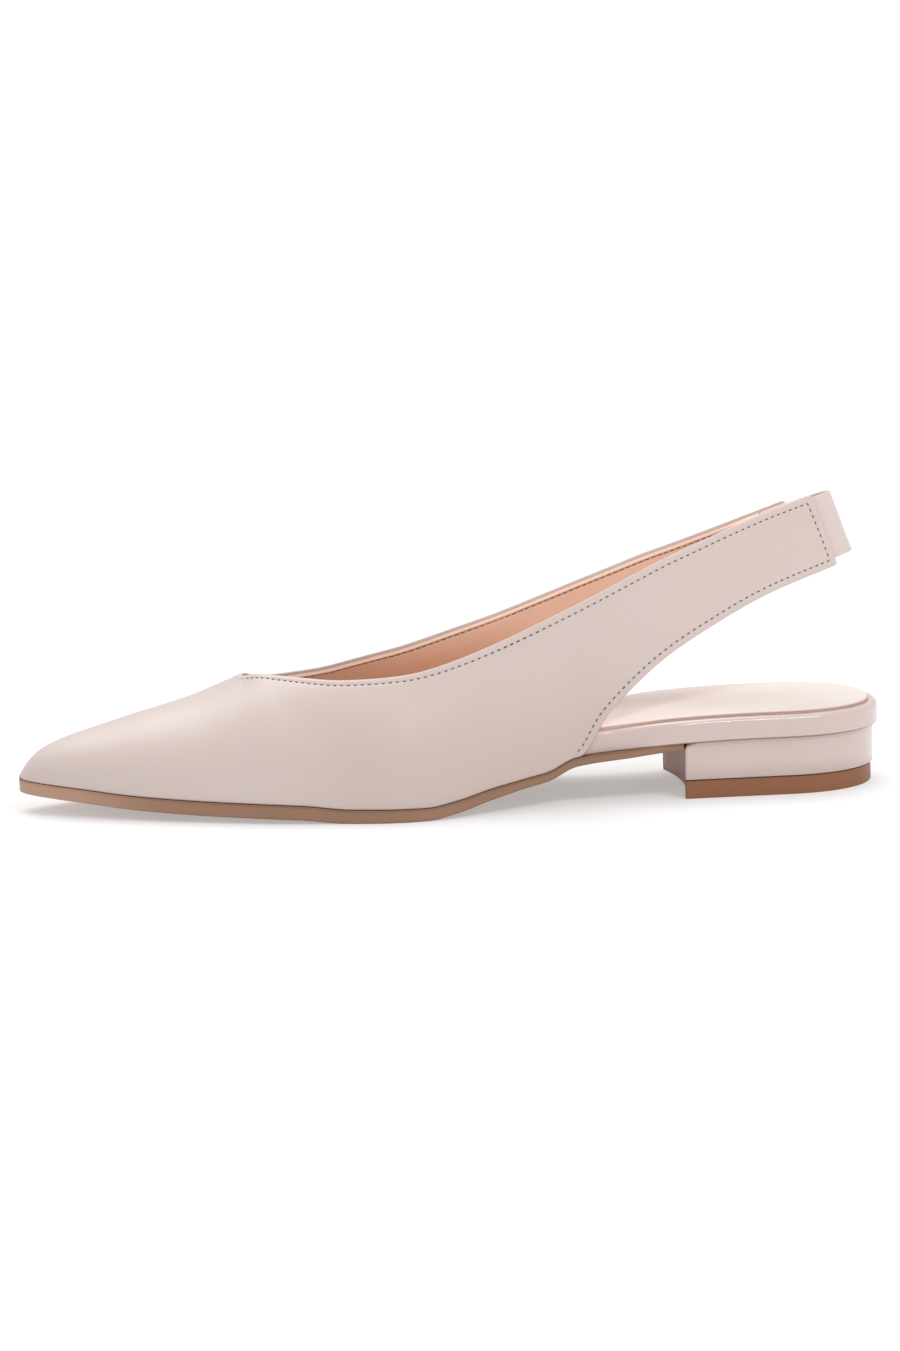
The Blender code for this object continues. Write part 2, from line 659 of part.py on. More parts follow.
def make_back_strap():
    """Elastic from pocket to pocket, in one bend round the back."""
    lateral, _, run_out = held_band(SideWall("lateral"), 0.0, 0.0)
    medial, _, run_in = held_band(SideWall("medial"), 0.0, 0.0)
    pull = 8.0 * LOOP_DEPTH / np.linalg.norm((run_out + run_in).mean(axis=0))
    t = np.linspace(0.0, 1.0, LOOP_STATIONS + 1)[1:-1, None, None]
    start, end = lateral[-1], medial[-1]
    bend = start * (1.0 + 2.0 * t) * (1.0 - t) ** 2 + end * t * t * (3.0 - 2.0 * t)
    bend = bend + run_out * pull * t * (1.0 - t) ** 2 + run_in * pull * t * t * (1.0 - t)
    middle = np.concatenate([lateral, bend, medial[::-1]])
    normal = np.cross(np.gradient(middle, axis=0), np.gradient(middle, axis=1))
    normal /= np.linalg.norm(normal, axis=-1, keepdims=True)
    half = normal * ELASTIC_THICK / 2.0
    return closed_grids("back_strap", ELASTIC_WEB, middle - half, middle + half)


def cut_pockets(upper):
    """Boolean cuts of the two pockets out of the strap ends."""
    cutters = []
    for side in ("lateral", "medial"):
        cutter = make_pocket_cutter(side)
        cut = upper.modifiers.new(f"{side}_pocket", "BOOLEAN")
        cut.operation = "DIFFERENCE"
        cut.solver = "EXACT"
        cut.object = cutter
        cutters.append(cutter)
    return cutters


def centre_on_origin(pieces, others):
    """Carry all pieces on an empty that brings the middle of their box to the origin, floor at z = 0."""
    corners = np.array([vertex.co for piece in pieces for vertex in piece.data.vertices])
    low, high = corners.min(axis=0), corners.max(axis=0)
    carrier = bpy.data.objects.new("shoe_origin", None)
    bpy.context.scene.collection.objects.link(carrier)
    carrier.location = (-(low[0] + high[0]) / 2.0, -(low[1] + high[1]) / 2.0, -low[2])
    for piece in pieces + others:
        piece.parent = carrier


def main():
    """Clear the scene and build the shoe."""
    for old in list(bpy.data.objects):
        bpy.data.objects.remove(old, do_unlink=True)
    upper = make_upper()
    cutters = cut_pockets(upper)
    pieces = [make_outsole(), make_top_piece(), make_heel(), make_insole(), make_sock(), make_back_strap()]
    centre_on_origin(pieces + [upper], cutters)


main()
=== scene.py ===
"""Looks of a pointed sling back flat, left shoe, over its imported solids.

Lengths are in metres. Shapes are worked out from the toe tip: x runs along the shoe to the heel, y across it to
the inner side and z up from the floor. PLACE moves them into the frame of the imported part. Every surface is a
function of two parameters, worked out on a grid as whole arrays.
"""

from __future__ import annotations

import json
import logging
import math
from collections.abc import Callable, Sequence
from dataclasses import dataclass
from enum import Enum
from typing import NamedTuple, Union

import bmesh
import bpy
import numpy as np
from mathutils import Matrix, Vector

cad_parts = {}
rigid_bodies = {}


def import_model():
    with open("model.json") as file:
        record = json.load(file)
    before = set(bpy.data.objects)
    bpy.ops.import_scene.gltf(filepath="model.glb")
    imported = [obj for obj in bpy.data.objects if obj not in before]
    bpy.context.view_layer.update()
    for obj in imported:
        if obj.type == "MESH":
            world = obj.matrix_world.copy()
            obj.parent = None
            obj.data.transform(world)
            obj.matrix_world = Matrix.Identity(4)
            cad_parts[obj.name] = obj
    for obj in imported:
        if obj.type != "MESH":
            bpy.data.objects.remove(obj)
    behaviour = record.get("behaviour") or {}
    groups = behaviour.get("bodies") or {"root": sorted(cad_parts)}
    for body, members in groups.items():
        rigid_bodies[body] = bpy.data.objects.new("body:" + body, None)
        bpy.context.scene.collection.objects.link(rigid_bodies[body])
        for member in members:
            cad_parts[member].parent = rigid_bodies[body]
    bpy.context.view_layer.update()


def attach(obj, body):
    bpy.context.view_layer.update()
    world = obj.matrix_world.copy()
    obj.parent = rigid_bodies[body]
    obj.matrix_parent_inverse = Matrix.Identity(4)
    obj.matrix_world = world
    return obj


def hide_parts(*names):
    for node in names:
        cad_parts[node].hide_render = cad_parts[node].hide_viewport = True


LOG = logging.getLogger("sling_back_flat")
Array = np.ndarray
Height = Callable[[Array], Array]
Colour = tuple[float, float, float]
Tones = tuple[float, float, float]
Place = tuple[float, float, float]

MM = 0.001
TINY = 1e-12
CLOSE = 1e-9
MERGE = 1e-7
FOOT_BLEND = 0.05 * MM
BODY = "root"
PLACE = np.array((-0.1315, 0.00196, 0.0))


class Plan(NamedTuple):
    """One station of the sole's plan, with both edges as shares of the local width."""

    along: float
    lateral: float
    medial: float


class Profile(NamedTuple):
    """One station of the sole's side view: shares of toe spring, heel height and outsole thickness."""

    along: float
    spring: float
    arch: float
    thick: float


class Crest(NamedTuple):
    """Height of the vamp's crest above the feather line, as a share of the instep rise."""

    along: float
    rise: float


class Section(NamedTuple):
    """Foot and top of one section of a quarter or strap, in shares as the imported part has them."""

    along: float
    foot_rise: float
    foot_out: float | None
    top_along: float
    top_rise: float
    top_out: float
    fullness: float


class Side(Enum):
    """The two sides of the shoe, valued by their direction along y."""

    LATERAL = -1
    MEDIAL = 1


PLAN = [
    Plan(*row)
    for row in (
        (0.0000, 0.051, 0.051), (0.0115, -0.026, 0.121), (0.0305, -0.077, 0.166), (0.0573, -0.134, 0.211),
        (0.0954, -0.198, 0.262), (0.1527, -0.285, 0.325), (0.2290, -0.378, 0.403), (0.3050, -0.454, 0.459),
        (0.3800, -0.503, 0.472), (0.4275, -0.538, 0.460), (0.4960, -0.563, 0.436), (0.5725, -0.566, 0.434),
        (0.6490, -0.535, 0.434), (0.7250, -0.508, 0.443), (0.8015, -0.500, 0.481), (0.8780, -0.500, 0.500),
        (1.0000, -0.500, 0.500),
    )
]
PROFILE = [
    Profile(*row)
    for row in (
        (0.000, 1.00, 0.000, 0.95), (0.070, 0.78, 0.000, 0.98), (0.120, 0.57, 0.000, 1.00),
        (0.204, 0.36, 0.000, 1.04), (0.319, 0.18, 0.000, 1.05), (0.374, 0.00, 0.000, 1.00),
        (0.458, 0.00, 0.000, 0.92), (0.496, 0.00, 0.086, 0.88), (0.534, 0.00, 0.236, 0.80),
        (0.576, 0.00, 0.375, 0.66), (0.603, 0.00, 0.448, 0.64), (0.637, 0.00, 0.648, 0.62),
        (0.698, 0.00, 0.732, 0.58), (0.760, 0.00, 0.812, 0.56), (0.840, 0.00, 0.838, 0.56),
        (1.000, 0.00, 0.842, 0.56),
    )
]
CREST = [
    Crest(*row)
    for row in (
        (0.0000, 0.000), (0.0038, 0.072), (0.0110, 0.154), (0.0233, 0.250), (0.0470, 0.354),
        (0.0940, 0.499), (0.1410, 0.631), (0.1875, 0.742), (0.2200, 0.834), (0.2620, 0.981),
    )
]
SECTIONS = {
    Side.LATERAL: [
        Section(*row)
        for row in (
            (0.2620, 0.000, None, 0.2620, 0.995, -0.038, 1.00), (0.2696, 0.000, None, 0.2696, 1.012, 0.041, 1.00),
            (0.2884, 0.000, None, 0.2884, 1.008, 0.112, 1.00), (0.3210, 0.000, None, 0.3210, 0.968, 0.202, 1.00),
            (0.3720, 0.000, None, 0.3664, 0.926, 0.293, 1.00), (0.4470, 0.000, None, 0.4313, 0.876, 0.362, 1.00),
            (0.5270, 0.000, None, 0.5000, 0.868, 0.434, 0.90), (0.5950, 0.000, None, 0.5573, 0.862, 0.494, 0.75),
            (0.6400, 0.000, None, 0.5992, 0.858, 0.527, 0.60), (0.6756, 0.169, 0.532, 0.6450, 0.859, 0.538, 0.45),
            (0.7271, 0.336, 0.526, 0.7023, 0.879, 0.517, 0.35), (0.7901, 0.473, 0.483, 0.7672, 0.925, 0.468, 0.25),
            (0.8721, 0.609, 0.374, 0.8454, 0.977, 0.372, 0.15), (0.9542, 0.698, 0.217, 0.9244, 0.998, 0.226, 0.10),
        )
    ],
    Side.MEDIAL: [
        Section(*row)
        for row in (
            (0.2620, 0.000, None, 0.2620, 0.995, 0.038, 1.00), (0.2696, 0.000, None, 0.2696, 0.955, 0.121, 1.00),
            (0.2884, 0.000, None, 0.2884, 0.889, 0.199, 1.00), (0.3210, 0.000, None, 0.3210, 0.836, 0.293, 1.00),
            (0.3720, 0.000, None, 0.3664, 0.831, 0.338, 1.00), (0.4470, 0.000, None, 0.4313, 0.850, 0.350, 1.00),
            (0.5270, 0.000, None, 0.5000, 0.857, 0.386, 1.10), (0.5950, 0.000, None, 0.5573, 0.832, 0.434, 1.30),
            (0.6400, 0.000, None, 0.5992, 0.814, 0.466, 1.30), (0.6756, 0.164, 0.464, 0.6450, 0.802, 0.481, 0.80),
            (0.7271, 0.316, 0.468, 0.7023, 0.800, 0.472, 0.40), (0.7901, 0.428, 0.440, 0.7672, 0.829, 0.442, 0.25),
            (0.8721, 0.560, 0.347, 0.8454, 0.880, 0.351, 0.15), (0.9542, 0.642, 0.219, 0.9244, 0.935, 0.226, 0.10),
        )
    ],
}


def column(rows: Sequence[NamedTuple], name: str) -> Array:
    """One column of a table as an array."""
    return np.array([getattr(row, name) for row in rows], dtype=float)


def smooth_step(low: float, high: float, value: Array) -> Array:
    """0 up to low and 1 from high on, by t * t * (3 - 2 t) between them."""
    t = np.clip((np.asarray(value, dtype=float) - low) / (high - low), 0.0, 1.0)
    return t * t * (3.0 - 2.0 * t)


def mix(first: Array, second: Array, share: Array) -> Array:
    """first where share is 0, second where it is 1."""
    return first + (second - first) * share


def bump(distance: Array, width: float) -> Array:
    """Bell curve of a distance: exp(-(distance / width) squared)."""
    return np.exp(-((distance / width) ** 2))


def unit(vectors: Array) -> Array:
    """The vectors at length 1."""
    return vectors / np.maximum(np.linalg.norm(vectors, axis=-1, keepdims=True), TINY)


def fair_curve(knots: Array, values: Array, at: Array) -> Array:
    """Natural cubic spline: cubic pieces whose slope and curvature agree at each knot.

    Args:
        knots: Places of the rows, rising.
        values: Values of the rows.
        at: Places to read.

    Returns:
        The curve's value at each place.
    """
    knots, values, at = (np.asarray(a, dtype=float) for a in (knots, values, at))
    step, count = np.diff(knots), len(knots)
    slope = np.diff(values) / step
    matrix, right = np.eye(count), np.zeros(count)
    inner = np.arange(1, count - 1)
    matrix[inner, inner - 1] = step[:-1]
    matrix[inner, inner] = 2.0 * (step[:-1] + step[1:])
    matrix[inner, inner + 1] = step[1:]
    right[inner] = 6.0 * np.diff(slope)
    bend = np.linalg.solve(matrix, right)
    i = np.clip(np.searchsorted(knots, at, side="right") - 1, 0, count - 2)
    after, before = at - knots[i], knots[i + 1] - at
    curved = (bend[i] * before**3 + bend[i + 1] * after**3) / (6.0 * step[i])
    straight = (values[i] / step[i] - bend[i] * step[i] / 6.0) * before
    return curved + straight + (values[i + 1] / step[i] - bend[i + 1] * step[i] / 6.0) * after


def steady_curve(knots: Array, values: Array, at: Array) -> Array:
    """Monotone cubic: Hermite pieces with harmonic mean slopes, so a flat between equal rows stays flat.

    Args:
        knots: Places of the rows, rising.
        values: Values of the rows.
        at: Places to read.

    Returns:
        The curve's value at each place.
    """
    knots, values, at = (np.asarray(a, dtype=float) for a in (knots, values, at))
    step = np.diff(knots)
    slope = np.diff(values) / step
    near, far = 2.0 * step[1:] + step[:-1], step[1:] + 2.0 * step[:-1]
    with np.errstate(divide="ignore", invalid="ignore"):
        blend = (near + far) / (near / slope[:-1] + far / slope[1:])
    tangent = np.zeros(len(knots))
    tangent[1:-1] = np.where(slope[:-1] * slope[1:] > 0.0, blend, 0.0)
    tangent[0], tangent[-1] = slope[0], slope[-1]
    i = np.clip(np.searchsorted(knots, at, side="right") - 1, 0, len(knots) - 2)
    t = (at - knots[i]) / step[i]
    start = values[i] * (1.0 + 2.0 * t) * (1.0 - t) ** 2 + tangent[i] * step[i] * t * (1.0 - t) ** 2
    return start + values[i + 1] * t * t * (3.0 - 2.0 * t) + tangent[i + 1] * step[i] * t * t * (t - 1.0)


def run_along(line: Array) -> Array:
    """Distance along a line of points from its first one."""
    return np.concatenate([[0.0], np.cumsum(np.linalg.norm(np.diff(line, axis=0), axis=1))])


def read_line(at: Array, run: Array, line: Array) -> Array:
    """Points of a line at given distances along it, by linear interpolation."""
    return np.stack([np.interp(at, run, line[:, i]) for i in range(3)], axis=-1)


def round_corner(a: Array, b: Array, radius: float) -> tuple[Array, Array]:
    """Carries a square corner on to an arc.

    In radii from the arc's centre, u = 1 - a / radius and w = 1 - b / radius become u sqrt(1 - w^2 / 2) and
    w sqrt(1 - u^2 / 2), where both are above 0.

    Args:
        a: Distances from one side of the corner.
        b: Distances from the other side.
        radius: The arc's radius.

    Returns:
        The new distances from both sides.
    """
    u, w = np.clip(1.0 - a / radius, 0.0, 1.0), np.clip(1.0 - b / radius, 0.0, 1.0)
    inside = (u > 0.0) & (w > 0.0)
    turned_a = radius * (1.0 - u * np.sqrt(1.0 - w * w / 2.0))
    turned_b = radius * (1.0 - w * np.sqrt(1.0 - u * u / 2.0))
    return np.where(inside, turned_a, a), np.where(inside, turned_b, b)


def nearest(points: Array, samples: Array, chunk: int = 4096) -> Array:
    """Distance from each point to the nearest sample, from |p|^2 + |q|^2 - 2 p.q over the whole table.

    Args:
        points: Points in an array of any shape that ends in 3.
        samples: Points of the line measured to.
        chunk: How many points go through at a time.

    Returns:
        Distances in the shape of the points' array without its last axis.
    """
    flat = points.reshape(-1, 3)
    square = (samples**2).sum(axis=1)
    parts = [
        ((part**2).sum(axis=1)[:, None] + square - 2.0 * part @ samples.T).min(axis=1)
        for part in np.array_split(flat, max(1, len(flat) // chunk))
    ]
    return np.sqrt(np.maximum(np.concatenate(parts), 0.0)).reshape(points.shape[:-1])


@dataclass(frozen=True)
class ShoeForm:
    """The shoe's sizes and the lines of its sole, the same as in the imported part."""

    length: float = 0.262
    ball_width: float = 0.0784
    heel_width: float = 0.053
    instep_rise: float = 0.0342
    strap_rise: float = 0.0708
    medial_shortfall: float = 0.0045
    toe_spring: float = 0.0062
    heel_height: float = 0.0186
    heel_length: float = 0.0622
    heel_taper: float = 0.0012
    breast_depth: float = 0.0030
    outsole_thick: float = 0.0038
    top_piece_thick: float = 0.0056
    board_thick: float = 0.0030
    platform_thick: float = 0.0066
    sock_thick: float = 0.0009
    sock_margin: float = 0.0013
    sock_setback: float = 0.0016
    rand_proud: float = 0.0010
    feather_margin: float = 0.0004
    toe_room: float = 0.0018
    outer_ply: float = 0.0009
    lining_ply: float = 0.0007
    wall_fullness: float = 0.0013
    elastic_width: float = 0.0200
    elastic_thick: float = 0.0011
    elastic_hold: float = 0.0090
    pocket_thickens: float = 0.0234
    pocket_full: float = 0.0108
    loop_depth: float = 0.0090
    clearance: float = 0.0003
    throat: float = 0.262
    ball: float = 0.38
    lift_start: float = 0.44
    waist: float = 0.65
    seat: float = 0.76
    quarter_end: float = 0.676
    seat_round: float = 0.57
    seat_power: float = 2.15
    crest_tip: float = 0.051
    crest_throat: float = 0.038
    vamp_full: float = -0.4
    shortfall_start: float = 0.70
    least_sweep: float = math.radians(12)
    elastic_centre: float = 0.515
    edge_samples: int = 3000

    def profile(self, name: str, along: Array) -> Array:
        """A column of the sole's side view as a steady curve."""
        return steady_curve(column(PROFILE, "along"), column(PROFILE, name), along)

    def local_width(self, along: Array) -> Array:
        """Width that the plan's shares follow: the ball's in front, the heel's from the waist back."""
        return mix(self.ball_width, self.heel_width, smooth_step(self.ball, self.waist, along))

    def local_height(self, along: Array) -> Array:
        """Height that the topline's shares follow, from the instep's to the strap's."""
        last = SECTIONS[Side.LATERAL][-1].top_along
        return mix(self.instep_rise, self.strap_rise, (along - self.throat) / (last - self.throat))

    def ground(self, along: Array) -> Array:
        """Height of the outsole's underside: toe spring, a flat at the ball, then the arch."""
        return self.toe_spring * self.profile("spring", along) + self.heel_height * self.profile("arch", along)

    def feather(self, along: Array) -> Array:
        """Height of the outsole's top, where upper, rand and heel meet it."""
        return self.ground(along) + self.outsole_thick * self.profile("thick", along)

    def seat_line(self, along: Array) -> Array:
        """Smooth line under the topline: the feather line without its step."""
        lifted = smooth_step(self.lift_start, self.seat, along)
        return self.toe_spring * self.profile("spring", along) + mix(self.outsole_thick, self.heel_height, lifted)

    def crest_out(self, along: Array) -> Array:
        """Where the vamp's crest lies across the shoe."""
        share = mix(self.crest_tip, self.crest_throat, np.clip(along / self.throat, 0.0, 1.0))
        return self.local_width(along) * share

    def plan_edge(self, side: Side, along: Array) -> Array:
        """One edge of the sole's plan: a spline over the root of the length, times a superellipse at the seat.

        Args:
            side: Which side.
            along: Shares of the length.

        Returns:
            Distances across, in metres.
        """
        shares = fair_curve(np.sqrt(column(PLAN, "along")), column(PLAN, side.name.lower()), np.sqrt(along))
        depth = self.seat_round * self.heel_width / self.length
        turn = np.clip((along - 1.0 + depth) / depth, 0.0, 1.0)
        return shares * self.local_width(along) * (1.0 - turn**self.seat_power) ** (1.0 / self.seat_power)

    def inset_edge(self, side: Side, margin: float | Height) -> tuple[Array, Array]:
        """The plan's edge moved in along its normal.

        Args:
            side: Which edge.
            margin: How far in, or a function of the share of the length.

        Returns:
            The edge's x and y, in order from toe to seat.
        """
        along = 0.5 - 0.5 * np.cos(np.linspace(0.0, math.pi, self.edge_samples))
        inset = margin(along) if callable(margin) else np.full_like(along, margin)
        x, y = along * self.length, self.plan_edge(side, along)
        run_x, run_y = np.gradient(x), np.gradient(y)
        run = np.hypot(run_x, run_y) * side.value
        normal_x, normal_y = run_y / run, -run_x / run
        normal_x[0], normal_y[0], normal_x[-1], normal_y[-1] = 1.0, 0.0, -1.0, 0.0
        return x + normal_x * inset, y + normal_y * inset

    def breast_line(self, across: Array) -> Array:
        """Concave curve of the heel breast, across from -1 lateral to 1 medial: depth * (1 - across^2)."""
        return self.length - self.heel_length + self.breast_depth * (1.0 - across**2)

    def insole_thick(self, along: Array) -> Array:
        """Thickness of the insole: a board in the forefoot, a raised platform under waist and heel."""
        return mix(self.board_thick, self.platform_thick, smooth_step(self.ball, self.waist, along))

    def insole_margin(self, along: Array) -> Array:
        """The insole lies inside the upper's wall, and stands proud of the heel behind the quarters."""
        inside = self.feather_margin + self.outer_ply + self.lining_ply + self.clearance
        inside = inside + self.toe_room * (1.0 - smooth_step(0.0, self.ball, along))
        return mix(inside, -self.rand_proud, smooth_step(self.quarter_end, self.seat, along))

    def sock_edge(self, along: Array) -> Array:
        """Margin of the sock's edge: set in a little more at the toe, and from the rand's edge at the heel."""
        inside = self.insole_margin(along) + self.sock_margin * (2.0 - smooth_step(0.0, self.ball, along))
        return inside + self.sock_setback * smooth_step(self.quarter_end, self.seat, along)


class SideSurface:
    """Outer surface of one side of the upper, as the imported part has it.

    A section is part of an ellipse. With the angle t = v * sweep, its along and height run from foot to top by
    sin t / sin sweep, and its distance across by (1 - cos t) / (1 - cos sweep), plus a fullness 4 g (1 - g).
    """

    def __init__(self, form: ShoeForm, side: Side) -> None:
        """Keeps the form and the side's rows.

        Args:
            form: The shoe's sizes.
            side: Which side.
        """
        self.form, self.side, self.rows = form, side, SECTIONS[side]
        self.last = float(len(self.rows) - 1)
        self.first_clear = next(i for i, row in enumerate(self.rows) if row.foot_out is not None)
        self.feather_x, self.feather_y = form.inset_edge(side, form.feather_margin)

    def row_curve(self, name: str, at: Array, ahead: Array | None = None) -> Array:
        """A column of the side's table as a fair curve over the row number, mirrored in front of the throat."""
        values = column(self.rows, name)
        before = values[1:4][::-1] if ahead is None else ahead
        return fair_curve(np.arange(-3, len(values)), np.concatenate([before, values]), at)

    def topline_out(self, at: Array) -> Array:
        """Share across of the topline, run on through the throat into the other side's."""
        other = Side.MEDIAL if self.side is Side.LATERAL else Side.LATERAL
        return self.row_curve("top_out", at, -column(SECTIONS[other], "top_out")[1:4][::-1])

    def foot_on_edge(self, at: Array) -> Array:
        """Distance across of the strap's lower edge."""
        shares = [row.foot_out for row in self.rows[self.first_clear:]]
        knots = np.arange(self.first_clear, len(self.rows))
        return self.form.heel_width * fair_curve(knots, shares, np.maximum(at, self.first_clear))

    def foot_on_sole(self, along: Array) -> Array:
        """Distance across of the feather line."""
        return self.side.value * np.interp(along * self.form.length, self.feather_x, self.feather_y)

    def shortfall(self, along: Array) -> Array:
        """How much sooner the medial strap ends, as a share of the length.

        Args:
            along: Shares of the length.

        Returns:
            Shares of the length by which the side ends sooner.
        """
        if self.side is Side.LATERAL:
            return np.zeros_like(along)
        step = smooth_step(self.form.shortfall_start, self.rows[-1].along, along)
        return self.form.medial_shortfall / self.form.length * step

    def ends(self, at: Array) -> tuple[list[Array], list[Array]]:
        """Along, across and height of a quarter section's foot and of its top.

        Args:
            at: Section numbers.

        Returns:
            Three arrays for the foot, and three for the top.
        """
        form = self.form
        along = self.row_curve("along", at)
        rise = steady_curve(np.arange(len(self.rows)), column(self.rows, "foot_rise"), at)
        lifted = smooth_step(self.first_clear - 1.0, self.first_clear, at)
        out = mix(self.foot_on_sole(along), self.foot_on_edge(at), lifted)
        foot = [along - self.shortfall(along), out, form.feather(along) + form.clearance + form.strap_rise * rise]
        top_along = self.row_curve("top_along", at)
        height = form.seat_line(top_along) + form.local_height(top_along) * self.row_curve("top_rise", at)
        across = self.topline_out(at) * form.local_width(top_along)
        return foot, [top_along - self.shortfall(top_along), across, height]

    def points(self, at: Array, v: Array) -> Array:
        """Points of the surface.

        Args:
            at: Section numbers: -1 at the toe tip, 0 at the throat, the last row at the strap's end.
            v: Place in the section, 0 at its foot and 1 at its top.

        Returns:
            Points in the broadcast shape of at and v, with a last axis of 3.
        """
        form = self.form
        at, v = np.broadcast_arrays(np.asarray(at, dtype=float), np.asarray(v, dtype=float))
        in_front = at <= 0.0
        vamp = form.throat * np.clip(1.0 + at, 0.0, 1.0) ** 2
        foot, top = self.ends(np.maximum(at, 0.0))
        crest = form.crest_out(np.where(in_front, vamp, top[0])) * self.side.value
        foot_along = np.where(in_front, vamp, foot[0])
        foot_out = np.where(in_front, self.foot_on_sole(vamp), foot[1])
        foot_z = np.where(in_front, form.feather(vamp) + form.clearance, foot[2])
        top_along = np.where(in_front, vamp, top[0])
        top_out = np.where(in_front, crest, top[1])
        ridge = fair_curve(np.sqrt(column(CREST, "along")), column(CREST, "rise"), np.sqrt(vamp))
        top_z = np.where(in_front, foot_z + form.instep_rise * ridge, top[2])
        reach = np.maximum(foot_out - crest, 1e-6)
        cosine = np.clip((top_out - crest) / reach, 0.0, math.cos(form.least_sweep))
        sweep = np.arccos(cosine)
        g = np.sin(sweep * v) / np.sin(sweep)
        f = (1.0 - np.cos(sweep * v)) / (1.0 - cosine)
        full = form.wall_fullness * self.row_curve("fullness", np.maximum(at, 0.0))
        full = full * np.where(in_front, smooth_step(-1.0, form.vamp_full, at), 1.0)
        out = mix(foot_out, top_out, f) + full * 4.0 * g * (1.0 - g)
        along = mix(foot_along, top_along, g) * form.length
        return np.stack([along, self.side.value * out, mix(foot_z, top_z, g)], axis=-1)

    def pitch(self) -> float:
        """Length of one section step at the strap's end."""
        back_by = 0.25
        ends = self.points(np.array([self.last - back_by, self.last]), 0.5)
        return float(np.linalg.norm(ends[1] - ends[0])) / back_by

    def heights(self, at: Array, samples: int = 161) -> Array:
        """Arc length from the foot at evenly spaced v, one row per section."""
        line = self.points(at[:, None], np.linspace(0.0, 1.0, samples))
        steps = np.linalg.norm(np.diff(line, axis=1), axis=-1)
        return np.concatenate([np.zeros((len(at), 1)), np.cumsum(steps, axis=1)], axis=1)

    def v_at(self, arc: Array, distance: Array) -> Array:
        """The v that lies at each distance above the foot.

        Args:
            arc: Arc lengths as heights gives them, one row per section.
            distance: Distances, one row per section.

        Returns:
            v in the shape of distance, by linear interpolation in the arc lengths.
        """
        i = np.clip((arc[:, :, None] <= distance[:, None, :]).sum(axis=1) - 1, 0, arc.shape[1] - 2)
        low, high = np.take_along_axis(arc, i, axis=1), np.take_along_axis(arc, i + 1, axis=1)
        return np.clip((i + (distance - low) / np.maximum(high - low, TINY)) / (arc.shape[1] - 1), 0.0, 1.0)


class Wire:
    """A number in a node tree. Arithmetic on it adds Math nodes."""

    def __init__(self, paint: "Paint", socket: bpy.types.NodeSocket) -> None:
        """Keeps the paint that the socket belongs to."""
        self.paint, self.socket = paint, socket

    def math(self, operation: str, *values: Value) -> "Wire":
        """The result of a Math node on the given values, in order."""
        node = self.paint.add("ShaderNodeMath", {"operation": operation}, dict(enumerate(values)))
        return Wire(self.paint, node.outputs[0])

    def __add__(self, other: Value) -> "Wire":
        """self + other."""
        return self.math("ADD", self, other)

    def __radd__(self, other: Value) -> "Wire":
        """other + self."""
        return self.math("ADD", other, self)

    def __sub__(self, other: Value) -> "Wire":
        """self - other."""
        return self.math("SUBTRACT", self, other)

    def __rsub__(self, other: Value) -> "Wire":
        """other - self."""
        return self.math("SUBTRACT", other, self)

    def __mul__(self, other: Value) -> "Wire":
        """self * other."""
        return self.math("MULTIPLY", self, other)

    def __rmul__(self, other: Value) -> "Wire":
        """other * self."""
        return self.math("MULTIPLY", other, self)

    def ramp(self, low: float, high: float) -> "Wire":
        """0 up to low and 1 from high on, smooth between them."""
        settings = {"interpolation_type": "SMOOTHSTEP"}
        node = self.paint.add("ShaderNodeMapRange", settings, {0: self, 1: low, 2: high, 3: 0.0, 4: 1.0})
        return Wire(self.paint, node.outputs[0])


Value = Union[float, Colour, Wire, bpy.types.NodeSocket]


